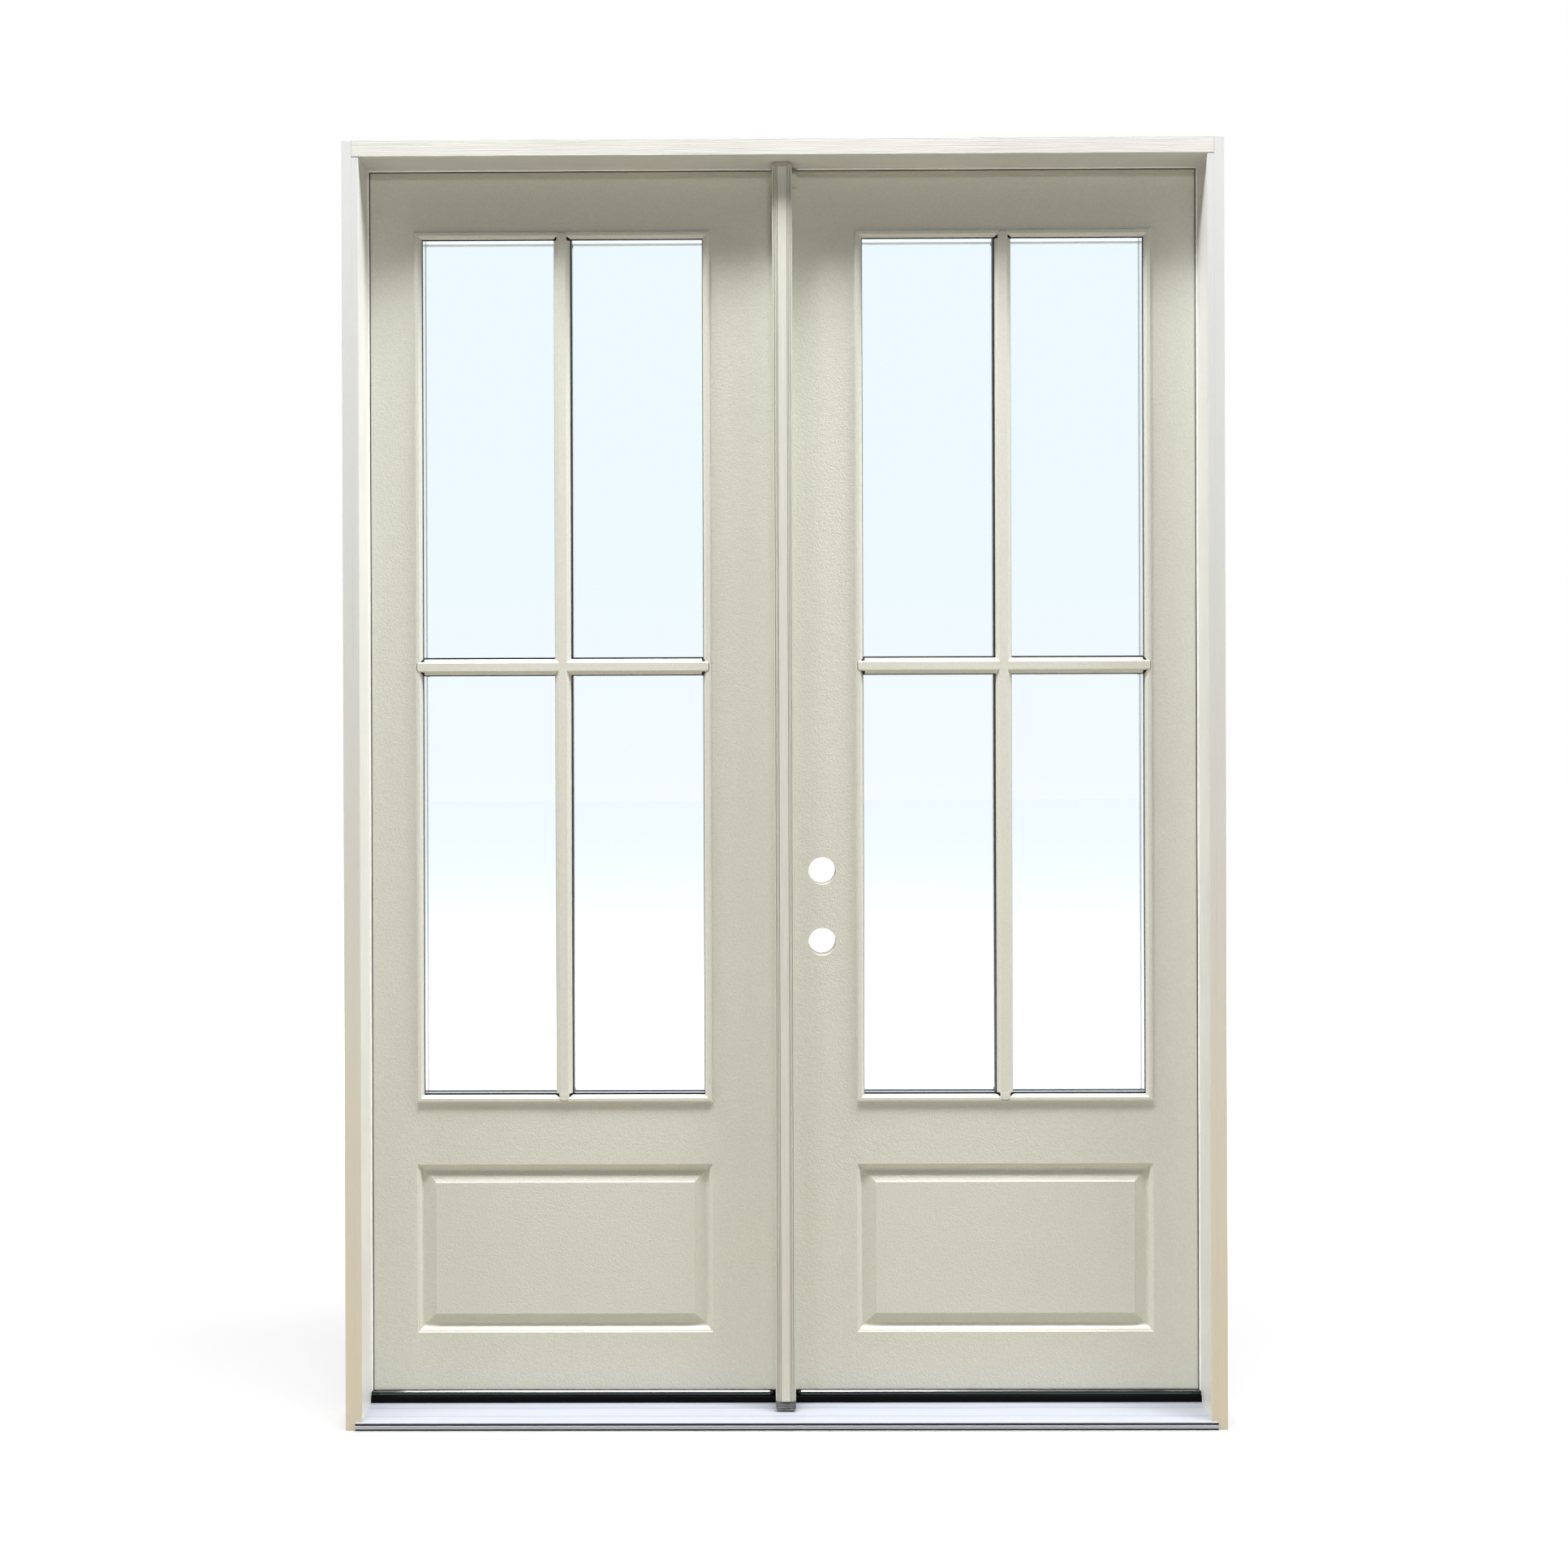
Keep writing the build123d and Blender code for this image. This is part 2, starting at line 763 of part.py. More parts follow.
def glazing(side, name):
    """Frames, panes, spacer, shadow bars and grilles of a leaf's glazed opening."""
    left, right = sorted((side * lite_lock, side * lite_hinge))
    frames = {}
    for outward, depth, leg, label in (
        (-1, leaf_face, glass_setback, "outer"),
        (1, jamb_depth, inner_leg, "inner"),
    ):
        with BuildPart() as frame:
            moulding_ring(
                glazing_frame_section(leg), left, right, lite_bottom, lite_top, depth, outward
            )
        save(frame, f"{name}_{label}_glazing_frame")
        frames[outward] = frame.part

    inset = glass_inset
    back_glass = glass_face + unit_glass_thickness
    for depth_from, depth_to, label in (
        (glass_face, glass_face + pane_thickness, "outer"),
        (back_glass - pane_thickness, back_glass, "inner"),
    ):
        with BuildPart() as pane:
            block(
                left + inset, right - inset, depth_from, depth_to,
                lite_bottom + inset, lite_top - inset,
            )
        save(pane, f"{name}_{label}_pane")

    space = (glass_face + pane_thickness, back_glass - pane_thickness)
    with BuildPart() as spacer:
        block(left + inset, right - inset, *space, lite_bottom + inset, lite_top - inset)
        edge = inset + spacer_width
        block(
            left + edge, right - edge, *space, lite_bottom + edge, lite_top - edge,
            Mode.SUBTRACT,
        )
    save(spacer, f"{name}_glass_spacer")

    middle = side * lite_middle
    with BuildPart() as shadow_bars:
        half = shadow_bar_width / 2
        centre = sum(space) / 2
        layer = (centre - shadow_bar_thickness / 2, centre + shadow_bar_thickness / 2)
        block(middle - half, middle + half, *layer, lite_bottom + edge, lite_top - edge)
        block(left + edge, right - edge, *layer, lite_centre - half, lite_centre + half)
    save(shadow_bars, f"{name}_shadow_bars")

    grille(side, f"{name}_outer_grille", -1, leaf_face, glass_setback, frames[-1])
    grille(side, f"{name}_inner_grille", 1, jamb_depth, inner_leg, frames[1])


def grille(side, name, outward, face, setback, frame):
    """An upright bar and two cross bars on the glass, bevelled, coped over the moulding."""
    glass = face - outward * setback
    top = face + outward * bar_height
    left, right = sorted((side * lite_lock, side * lite_hinge))
    middle = side * lite_middle
    wide = bar_width / 2
    flat = bar_flat / 2
    crown = [(-wide, face), (-flat, top), (flat, top), (wide, face)]
    foot = [(-wide, glass), (-wide, face), (wide, face), (wide, glass)]
    layers = ((crown, bar_end), (foot, moulding_width))
    with BuildPart() as upright:
        for section, end in layers:
            post(
                [(middle + x, depth) for x, depth in section],
                lite_bottom + end, lite_top - end,
            )
        cut_bar_ends(upright, top, frame)
    with BuildPart() as cross_bars:
        for section, end in layers:
            bar_along_x(
                [(depth, lite_centre + z) for z, depth in section], left + end, right - end
            )
        cut_bar_ends(cross_bars, top, frame)
        add(upright.part, mode=Mode.SUBTRACT)
    save_together([upright, cross_bars], name)


def cut_bar_ends(bars, top, frame):
    """Chamfer the far ends of bars, and cope them to the glazing frame's moulding."""
    ends = bars.edges().filter_by(
        lambda edge: abs(edge.center().Y - y(top)) < match_tolerance
        and abs(edge.length - bar_flat) < match_tolerance
    )
    chamfer(ends, length=bar_end_chamfer)
    add(frame, mode=Mode.SUBTRACT)


def sweep_seal(side, name):
    """The seal under a leaf: barbed plate, fins and a slanting drip in front."""
    underside = cap_top + soft_clearance
    plate_under = leaf_bottom - sweep_plate
    with BuildPart() as seal:
        inner = side * (lock_edge + sweep_end_gap)
        outer = side * (hinge_edge - sweep_end_gap)
        block(inner, outer, leaf_face, jamb_depth, plate_under, leaf_bottom)
        for step in range(fin_count):
            depth = leaf_face + leaf_thickness * (step + 1) / (fin_count + 1)
            block(
                inner, outer, depth - fin_thickness / 2, depth + fin_thickness / 2,
                underside, plate_under,
            )
        drip = sorted(
            (
                side * (astragal_width / 2 + (astragal_gap + soft_clearance)),
                side * (leg_face - stop_height - strip_reach - astragal_gap),
            )
        )
        bar_along_x(
            [
                (leaf_face, leaf_bottom), (leaf_face, leaf_bottom - sweep_plate),
                (leaf_face - drip_reach + fin_thickness, underside),
                (leaf_face - drip_reach, underside),
                (leaf_face - drip_reach, underside + fin_thickness),
                (leaf_face - fin_thickness, leaf_bottom - fin_thickness),
            ],
            *drip,
        )
    save(seal, f"{name}_bottom_sweep")


# Astragal and flush bolts


def astragal():
    """The moulded post between the leaves: beaded nose, web between the edges, bolt channels."""
    half = astragal_width / 2
    flat = astragal_flat / 2
    step_back = astragal_front + astragal_step
    bead = (half - flat) / 2
    bead_crown = astragal_front + bead_crown_drop
    with BuildPart() as post_part:
        with BuildSketch(Plane.XY.offset(astragal_bottom)) as nose:
            with BuildLine():
                for turn in (-1, 1):
                    Line(
                        (turn * flat, y(astragal_front)),
                        (turn * flat, y(astragal_front + bead_quirk)),
                    )
                    ThreePointArc(
                        (turn * flat, y(astragal_front + bead_quirk)),
                        (turn * (flat + bead * bead_crown_share), y(bead_crown)),
                        (turn * (flat + bead), y(step_back - bead_quirk)),
                    )
                    Polyline(
                        (turn * (flat + bead), y(step_back - bead_quirk)),
                        (turn * (flat + bead), y(step_back)), (turn * half, y(step_back)),
                    )
                Line((-flat, y(astragal_front)), (flat, y(astragal_front)))
                Polyline(
                    (half, y(step_back)), (half, y(flange_back)),
                    (web_face, y(flange_back)), (web_face, y(leaf_face)),
                    (-half, y(leaf_face)), (-half, y(step_back)),
                )
            make_face()
        extrude(amount=astragal_top - astragal_bottom)
        block(-lock_edge, web_face, leaf_face, jamb_depth, leaf_bottom, leaf_top)
        kerf = (web_face + half) / 2
        block(
            kerf - kerf_width / 2, kerf + kerf_width / 2, flange_back - flange_barb - bolt_fit,
            flange_back, astragal_bottom, astragal_top, Mode.SUBTRACT,
        )
        hole_along_z(
            bolt_x, bolt_depth, leaf_top - top_channel(), leaf_top, bolt_radius + bolt_fit
        )
        hole_along_z(
            bolt_x, bolt_depth, leaf_bottom, leaf_bottom + bottom_channel(),
            bolt_radius + bolt_fit,
        )
        top_knob = knob_base(1)
        bottom_knob = knob_base(-1)
        for low, throw in ((top_knob, top_throw), (bottom_knob - bottom_throw, bottom_throw)):
            block(
                bolt_x, web_face, bolt_depth - knob_width / 2 - soft_clearance,
                bolt_depth + knob_width / 2 + soft_clearance,
                low - soft_clearance, low + knob_height + throw + soft_clearance,
                Mode.SUBTRACT,
            )
        for z in (lock_height, deadbolt_height):
            hole_along_x(
                web_face - strike_hole_depth, web_face, bolt_depth, z, strike_hole_radius
            )
    save(post_part, "astragal")


def top_channel():
    """Length of the top bolt's channel."""
    return bolt_length + top_throw + socket_room


def bottom_channel():
    """Length of the bottom bolt's channel."""
    return bolt_length + bottom_throw + socket_room


def knob_base(turn):
    """Height of the bottom of a bolt's thumb slide, with the bolt drawn back."""
    if turn > 0:
        return leaf_top - bolt_rest - bolt_length + knob_height
    return leaf_bottom + bolt_rest + bolt_length - 2 * knob_height


def flush_bolt(turn, name):
    """A round rod with a thumb slide on the web's face. turn is 1 at the top, -1 below."""
    tip = leaf_top - bolt_rest if turn > 0 else leaf_bottom + bolt_rest
    end = tip - turn * bolt_length
    low = knob_base(turn)
    with BuildPart() as bolt:
        with BuildSketch(Plane.XY.offset(min(tip, end))):
            with Locations((bolt_x, y(bolt_depth))):
                Circle(bolt_radius)
        extrude(amount=bolt_length)
        block(
            bolt_x, web_face - soft_clearance, bolt_depth - knob_width / 2,
            bolt_depth + knob_width / 2, low, low + knob_height,
        )
        point = bolt.faces().sort_by(Axis.Z)[-1 if turn > 0 else 0]
        chamfer(point.edges(), length=bolt_point)
    save(bolt, name)


def astragal_seals():
    """Seal on the back of the flange, pads at the top and the ribbed boot on the sill."""
    half = astragal_width / 2
    kerf = (web_face + half) / 2
    barb = barb_width / 2
    with BuildPart() as seal:
        post(
            [
                (kerf - barb, flange_back), (kerf - barb, flange_back - flange_barb),
                (kerf + barb, flange_back - flange_barb), (kerf + barb, flange_back),
                (half, flange_back), (half, leaf_face - soft_clearance - flange_lip),
                (half - flange_lip, leaf_face - soft_clearance),
                (lock_edge + bevel_cut, leaf_face - soft_clearance),
                (web_face + bolt_fit, flange_back + flange_lip), (web_face + bolt_fit, flange_back),
            ],
            astragal_bottom, astragal_top,
        )
    save(seal, "astragal_seal")

    with BuildPart() as pads:
        with BuildSketch(Plane.XZ.offset(-y(astragal_front + top_pad_inset))):
            rise = soffit - soft_clearance - astragal_top
            shoulder = astragal_top + rise * top_pad_shoulder_share
            with BuildLine():
                Polyline(
                    (-half, shoulder), (-half, astragal_top),
                    (half, astragal_top), (half, shoulder),
                )
                ThreePointArc((half, shoulder), (0, astragal_top + rise), (-half, shoulder))
            make_face()
        extrude(amount=-(flange_back - astragal_front - top_pad_inset))
        block(
            half, half + side_pad_width, leaf_face - soft_clearance - side_pad_depth,
            leaf_face - soft_clearance, astragal_top - side_pad_height, astragal_top,
        )
    save(pads, "astragal_pads")

    with BuildPart() as boot:
        front = astragal_front + boot_inset
        back = astragal_front + boot_depth
        bottom = deck_z(back) + soft_clearance
        bar_along_x(
            [
                (front, deck_z(front) + soft_clearance), (front, astragal_bottom),
                (back, astragal_bottom), (back, bottom),
            ],
            -half, half,
        )
        underside = cap_top + soft_clearance
        block(-lock_edge, web_face, back, leaf_face, underside, astragal_bottom)
        block(-lock_edge, web_face, leaf_face, jamb_depth, underside, leaf_bottom)
        hole_along_z(bolt_x, bolt_depth, underside, leaf_bottom, socket_radius)
        for turn in (-1, 1):
            with BuildSketch(Plane.XZ.offset(-y(front))) as corner:
                foot = deck_z(front)
                with BuildLine():
                    Polyline(
                        (turn * half, foot), (turn * (half - boot_taper), foot),
                        (turn * half, foot + boot_taper_height), close=True,
                    )
                make_face()
            extrude(corner.sketch, amount=front - back, mode=Mode.SUBTRACT)
        pitch = (astragal_bottom - deck_z(front)) / (boot_rib_count + 1)
        for step in range(boot_rib_count):
            z = deck_z(front) + pitch * (step + 1)
            block(
                -half, half, front, front + boot_rib, z - boot_rib / 2, z + boot_rib / 2,
                Mode.SUBTRACT,
            )
    save(boot, "astragal_boot")


head()
sill()
weatherstrips()
strike(rabbet, "head_strike")
strike(cap_top - strike_thickness, "sill_strike")
for door_side, door_name in ((-1, "left"), (1, "right")):
    opens_first = door_side > 0
    jamb(door_side, door_name)
    hinges(door_side, door_name)
    leaf_skin(door_side, f"{door_name}_outer_skin", -1, opens_first)
    leaf_skin(door_side, f"{door_name}_inner_skin", 1, opens_first)
    leaf_frame(door_side, door_name, opens_first)
    glazing(door_side, door_name)
    sweep_seal(door_side, door_name)
astragal()
astragal_seals()
flush_bolt(1, "top_flush_bolt")
flush_bolt(-1, "bottom_flush_bolt")
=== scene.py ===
"""Double entry door: finishes, small fittings, stage, lamps and camera.

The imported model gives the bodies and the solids. This file gives every solid its material,
adds the fittings that are too small for the solids, and sets the stage.
"""
from functools import cached_property
from math import pi, radians

import bmesh
import bpy
import numpy as np
from bpy.props import FloatProperty, FloatVectorProperty, IntProperty, PointerProperty
from mathutils import Euler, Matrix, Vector


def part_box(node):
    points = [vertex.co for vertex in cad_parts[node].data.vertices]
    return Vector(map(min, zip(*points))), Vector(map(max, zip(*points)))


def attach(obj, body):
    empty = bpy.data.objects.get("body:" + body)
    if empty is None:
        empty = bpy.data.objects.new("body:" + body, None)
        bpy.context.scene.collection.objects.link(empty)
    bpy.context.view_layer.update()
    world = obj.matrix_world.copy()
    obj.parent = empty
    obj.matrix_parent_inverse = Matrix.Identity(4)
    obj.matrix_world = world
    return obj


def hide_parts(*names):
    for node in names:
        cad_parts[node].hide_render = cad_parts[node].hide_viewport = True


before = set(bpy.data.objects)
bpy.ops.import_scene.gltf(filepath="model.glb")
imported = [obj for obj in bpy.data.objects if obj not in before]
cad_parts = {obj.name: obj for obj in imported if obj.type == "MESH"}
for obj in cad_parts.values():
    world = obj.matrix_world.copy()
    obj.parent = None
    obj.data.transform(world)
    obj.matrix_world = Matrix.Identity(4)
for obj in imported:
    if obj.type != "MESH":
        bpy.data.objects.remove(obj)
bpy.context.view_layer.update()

bl_info = {
    "name": "Double Entry Door",
    "version": (1, 0, 0),
    "blender": (4, 5, 0),
    "location": "View3D > Sidebar > Entry Door",
    "description": "Finishes, fittings and stage of a double entry door",
    "category": "Add Mesh",
}

LEAVES = ("left", "right")
BODY_OF = {"left": "left_leaf", "right": "right_leaf"}


def srgb(red, green, blue):
    """A colour read off a screen, 0 to 255, as the linear colour that shaders use."""
    values = np.array((red, green, blue)) / 255
    curve = np.where(values > 0.04045, ((values + 0.055) / 1.055) ** 2.4, values / 12.92)
    return tuple(float(value) for value in curve)


def darker(colour, share):
    """A colour with each part multiplied by a share."""
    return tuple(part * share for part in colour)


def edges(node):
    """Lowest and highest corner of a CAD solid, as two arrays in metres."""
    low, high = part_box(node)
    return np.array(low), np.array(high)


# Materials
#
# Sizes are in metres. _CELLS, _GRAIN and _RINGS count cells to the metre, a _RELIEF is a
# bump's strength and depth, an _EDGE is the radius that its edges are rounded to, and a
# _DARK is the darkest tone as a share of the colour.


EDGE_SAMPLES = 6


class Field:
    """A number that varies over a surface: Python's operators add Math nodes."""

    def __init__(self, finish, socket):
        self.finish = finish
        self.socket = socket

    def __add__(self, other):
        return self.finish.math("ADD", self, other)

    __radd__ = __add__

    def __sub__(self, other):
        return self.finish.math("SUBTRACT", self, other)

    def __rsub__(self, other):
        return self.finish.math("SUBTRACT", other, self)

    def __mul__(self, other):
        return self.finish.math("MULTIPLY", self, other)

    __rmul__ = __mul__


class Finish:
    """The nodes of a new material, or of the world. Every node comes from the method node."""

    def __init__(self, name, world=None):
        self.owner = world or bpy.data.materials.new(name)
        self.owner.use_nodes = True
        self.tree = self.owner.node_tree
        self.tree.nodes.clear()

    @cached_property
    def place(self):
        """Object coordinates, in metres."""
        return self.node("ShaderNodeTexCoord", output="Object")

    def node(self, kind, settings=None, sockets=None, output=0):
        """Add a node: settings first, then the values or links of its sockets."""
        made = self.tree.nodes.new(kind)
        for key, value in (settings or {}).items():
            setattr(made, key, value)
        for key, value in (sockets or {}).items():
            target = made.inputs[key]
            if isinstance(value, Field):
                self.tree.links.new(value.socket, target)
            elif isinstance(value, tuple) and len(target.default_value) == 4:
                target.default_value = (*value[:3], 1.0)
            else:
                target.default_value = value
        return Field(self, made.outputs[output]) if len(made.outputs) else made

    def math(self, operation, first, second=0.0):
        """One Math node on numbers or fields."""
        return self.node("ShaderNodeMath", {"operation": operation}, {0: first, 1: second})

    def stretched(self, scale):
        """Object coordinates, stretched so that a pattern follows one direction."""
        return self.node("ShaderNodeMapping", None, {"Vector": self.place, "Scale": scale})

    def noise(self, scale, detail=3.0, roughness=0.55, place=None, distortion=0.0):
        """Cloudy noise round 0.5, with scale in cells to the metre."""
        return self.node(
            "ShaderNodeTexNoise", None,
            {
                "Vector": place or self.place, "Scale": scale, "Detail": detail,
                "Roughness": roughness, "Distortion": distortion,
            },
        )

    def grain(self, scale, detail=3.0, roughness=0.55):
        """Cloudy noise drawn out along a piece, with its cells to the metre each way."""
        return self.noise(1.0, detail, roughness, self.stretched(scale))

    def between(self, value, low, high):
        """0 below low, 1 above high, and a smooth step between."""
        return self.node(
            "ShaderNodeMapRange", {"interpolation_type": "SMOOTHSTEP"},
            {"Value": value, "From Min": low, "From Max": high},
        )

    def bands(self, value, rows):
        """A sum of soft bands: each is 1 from low to high and fades out over blur beside it."""
        total = 0.0
        for low, high, blur in rows:
            rise = self.between(value, low - blur, low)
            fall = self.between(value, high, high + blur)
            total = rise - fall + total
        return total

    def axis(self, name):
        """One coordinate of the object, in metres."""
        return self.node("ShaderNodeSeparateXYZ", None, {"Vector": self.place}, output=name)

    def mix(self, factor, first, second):
        """A colour between two colours."""
        return self.node(
            "ShaderNodeMix", {"data_type": "RGBA"}, {0: factor, 6: first, 7: second}, output=2
        )

    def toned(self, tone, colour, dark):
        """A colour that goes down to dark times itself where tone is 0."""
        return self.mix(tone, darker(colour, dark), tuple(colour))

    def bump(self, height, strength, distance, soft_edge):
        """A normal from a height field, on edges rounded by soft_edge metres."""
        rounded = self.node("ShaderNodeBevel", {"samples": EDGE_SAMPLES}, {"Radius": soft_edge})
        return self.node(
            "ShaderNodeBump", None,
            {"Height": height, "Strength": strength, "Distance": distance, "Normal": rounded},
        )

    def creases(self, reach):
        """1 at the bottom of a crease and 0 on open faces, as far as reach metres from it:
        ambient occlusion, used as painted shade.
        """
        open_sky = self.node(
            "ShaderNodeAmbientOcclusion", {"samples": EDGE_SAMPLES, "only_local": True},
            {"Distance": reach}, output="AO",
        )
        return 1.0 - open_sky

    def shade(self, **sockets):
        """End the material in one Principled shader."""
        named = {key.replace("_", " "): value for key, value in sockets.items()}
        shader = self.node("ShaderNodeBsdfPrincipled", None, named)
        self.node("ShaderNodeOutputMaterial", None, {"Surface": shader})
        return self.owner


# Where a cloudy field splits into two tones, from a sharp split to a soft one. The numbers
# in a finish's sums are shares of its fields.
CRISP, EVEN, SOFT = (0.38, 0.62), (0.35, 0.65), (0.3, 0.7)

PRIMER_DARK = 0.91
PRIMER_CLOUDS, PRIMER_SPECKS = 5.0, 900.0
PRIMER_RELIEF = (0.7, 0.0008)
# Painted shade on the front faces, and painted warm light on them toward the floor
FRONT_FACE, FRONT_BLUR = -0.0618, 0.001
FRONT_FADE = (0.2, 2.1)
FRONT_SHADE_TINTS = ((0.84, 0.855, 0.89), (0.87, 0.79, 0.65))


def painted_wood(name, colour, grain, roughness=0.26, soft_edge=0.0009, foot=False):
    """Brushed primer on wood: long fine grain, faint pores and a slight change of tone.

    With foot, the front faces get painted shade, cooler and darker than the other faces, and
    toward the floor they turn warmer and duller, as painted warm light.
    """
    paint = Finish(name)
    strands = paint.grain(grain, detail=4.0, roughness=0.65)
    clouds = paint.noise(PRIMER_CLOUDS, detail=2.0)
    specks = paint.noise(PRIMER_SPECKS, detail=1.0)
    tone = paint.between(strands * 0.6 + clouds * 0.4, *EVEN)
    base = paint.toned(tone, colour, PRIMER_DARK)
    # Painted shade and painted warm light on the front faces
    if foot:
        front = 1.0 - paint.between(paint.axis("Y"), FRONT_FACE, FRONT_FACE + FRONT_BLUR)
        low = 1.0 - paint.between(paint.axis("Z") + clouds * 0.5, *FRONT_FADE)
        cool, warm = (
            tuple(part * tint for part, tint in zip(colour, tints)) for tints in FRONT_SHADE_TINTS
        )
        base = paint.mix(front, base, paint.mix(low, cool, warm))
    return paint.shade(
        Base_Color=base,
        Roughness=roughness + 0.12 * specks,
        Normal=paint.bump(strands + specks * 0.25, *PRIMER_RELIEF, soft_edge),
    )


SKIN_PITS, SKIN_WAVES, SKIN_CLOUDS, SKIN_SCUFFS = 350.0, 180.0, 2.6, 7.0
SKIN_DARK, SKIN_WORN, SKIN_CREASE_SHADE = 0.93, 0.92, 0.42
SKIN_RELIEF = 0.0016
SCUFFED, SCUFF_COVER = (0.66, 0.76), 0.5
# Painted shade: ambient occlusion darkens the colour in creases
CREASE_SHADE_SPLIT, CREASE_SHADE_COVER, CREASE_SHADE_REACH = (0.25, 0.8), 0.8, 0.004


def moulded_skin(name, colour, stipple, soft_edge=0.0003):
    """Primed moulded plastic: fine stipple, faint scuffs, and painted shade that darkens its
    creases.
    """
    paint = Finish(name)
    pits = paint.noise(SKIN_PITS, detail=2.0, roughness=0.6)
    waves = paint.noise(SKIN_WAVES, detail=2.0)
    clouds = paint.noise(SKIN_CLOUDS)
    scuffs = paint.noise(SKIN_SCUFFS, detail=5.0, roughness=0.7, distortion=0.8)
    tone = paint.between(clouds * 0.2 + pits * 0.5 + waves * 0.3, *CRISP)
    clean = paint.toned(tone, colour, SKIN_DARK)
    rubbed = paint.between(scuffs, *SCUFFED) * SCUFF_COVER
    used = paint.mix(rubbed, clean, darker(colour, SKIN_WORN))
    # Painted shade in the creases
    crease_shade = paint.between(paint.creases(CREASE_SHADE_REACH), *CREASE_SHADE_SPLIT)
    return paint.shade(
        Base_Color=paint.mix(crease_shade * CREASE_SHADE_COVER, used, darker(colour, SKIN_CREASE_SHADE)),
        Roughness=0.5 - 0.12 * pits + 0.1 * rubbed,
        Normal=paint.bump(pits + waves * 0.5, stipple, SKIN_RELIEF, soft_edge),
    )


RIPPLES, RUBBER_RELIEF = (9.0, 60.0, 120.0), 0.0012
DUST_CELLS, DUSTY, DUST_COVER = 260.0, (0.62, 0.8), 0.1
DUST_COLOUR = (0.05, 0.049, 0.048)


def black_rubber(name, colour, gloss, ripple, shine=0.1, soft_edge=0.0008):
    """Extruded black rubber: shiny, with slow ripples along it and a little dust."""
    rubber = Finish(name)
    waves = rubber.grain(RIPPLES, detail=2.0)
    dust = rubber.between(rubber.noise(DUST_CELLS, detail=4.0, roughness=0.7), *DUSTY)
    return rubber.shade(
        Base_Color=rubber.mix(dust * DUST_COVER, colour, DUST_COLOUR),
        Roughness=gloss + 0.2 * dust, Specular_IOR_Level=shine,
        Normal=rubber.bump(waves, ripple, RUBBER_RELIEF, soft_edge),
    )


METAL_DARK, METAL_PATCHES = 0.9, 14.0
METAL_RELIEF, METAL_EDGE = 0.0003, 0.0005


def drawn_metal(name, colour, grain, roughness, line_depth):
    """Drawn or rolled metal: fine lines along it and a slight change of sheen."""
    metal = Finish(name)
    lines = metal.grain(grain, roughness=0.6)
    patches = metal.noise(METAL_PATCHES)
    return metal.shade(
        Base_Color=metal.toned(metal.between(lines, *SOFT), colour, METAL_DARK),
        Metallic=1.0,
        Roughness=roughness - 0.06 + 0.12 * patches,
        Normal=metal.bump(lines, line_depth, METAL_RELIEF, METAL_EDGE),
    )


FOAM_DARK, FOAM_MOTTLE = 0.92, 40.0
FOAM_RELIEF, FOAM_EDGE = (0.35, 0.0005), 0.0004


def soft_foam(name, colour, cell, roughness=0.78, shine=0.5):
    """Skinned foam: small cells and soft mottling."""
    foam = Finish(name)
    cells = foam.node(
        "ShaderNodeTexVoronoi", None, {"Vector": foam.place, "Scale": cell, "Randomness": 1.0}
    )
    tone = foam.between(foam.noise(FOAM_MOTTLE), *SOFT)
    return foam.shade(
        Base_Color=foam.toned(tone, colour, FOAM_DARK),
        Roughness=roughness + 0.1 * cells, Specular_IOR_Level=shine,
        Normal=foam.bump(cells, *FOAM_RELIEF, FOAM_EDGE),
    )


PINE_DARK, PINE_WAVER, PINE_PORES = 0.68, 6.0, 3.0
PINE_RELIEF, PINE_EDGE = (0.3, 0.0004), 0.0006


def bare_wood(name, colour, grain):
    """Sawn pine: growth rings stretched along the piece, with pores between them."""
    wood = Finish(name)
    place = wood.stretched(grain)
    rings = wood.node(
        "ShaderNodeTexWave", {"wave_type": "BANDS"},
        {"Vector": place, "Scale": 1.0, "Distortion": PINE_WAVER, "Detail": 3.0}, output="Fac",
    )
    pores = wood.noise(PINE_PORES, detail=4.0, place=place)
    tone = rings * 0.7 + pores * 0.3
    return wood.shade(
        Base_Color=wood.toned(tone, colour, PINE_DARK),
        Roughness=0.58 + 0.15 * pores,
        Normal=wood.bump(tone, *PINE_RELIEF, PINE_EDGE),
    )


GLASS_TINT, GLASS_IOR = (0.97, 0.99, 1.0), 1.45
HAZE_CELLS, HAZY = 9.0, (0.5, 0.9)


def clear_glass(name):
    """Float glass: clear, with a breath of dust in its roughness."""
    glass = Finish(name)
    haze = glass.between(glass.noise(HAZE_CELLS, detail=4.0), *HAZY)
    return glass.shade(
        Base_Color=GLASS_TINT, Roughness=0.004 + 0.02 * haze,
        IOR=GLASS_IOR, Transmission_Weight=1.0,
    )


def dress(material, *nodes):
    """Give CAD solids a material."""
    for node in nodes:
        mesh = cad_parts[node].data
        mesh.materials.clear()
        mesh.materials.append(material)


# Meshes


def grid_faces(rows, columns, wrap_rows=False, wrap_columns=False):
    """Quads of a grid of points, as an array of four corner numbers each."""
    row = np.arange(rows if wrap_rows else rows - 1)
    column = np.arange(columns if wrap_columns else columns - 1)
    first, second = np.meshgrid(row, column, indexing="ij")
    next_first = (first + 1) % rows
    next_second = (second + 1) % columns
    corners = (
        first * columns + second, first * columns + next_second,
        next_first * columns + next_second, next_first * columns + second,
    )
    return np.stack(corners, axis=-1).reshape(-1, 4)

def rectangle(left, right, bottom, top):
    """The four corners of a plain section or outline, in order round it."""
    return np.array([(left, bottom), (right, bottom), (right, top), (left, top)])


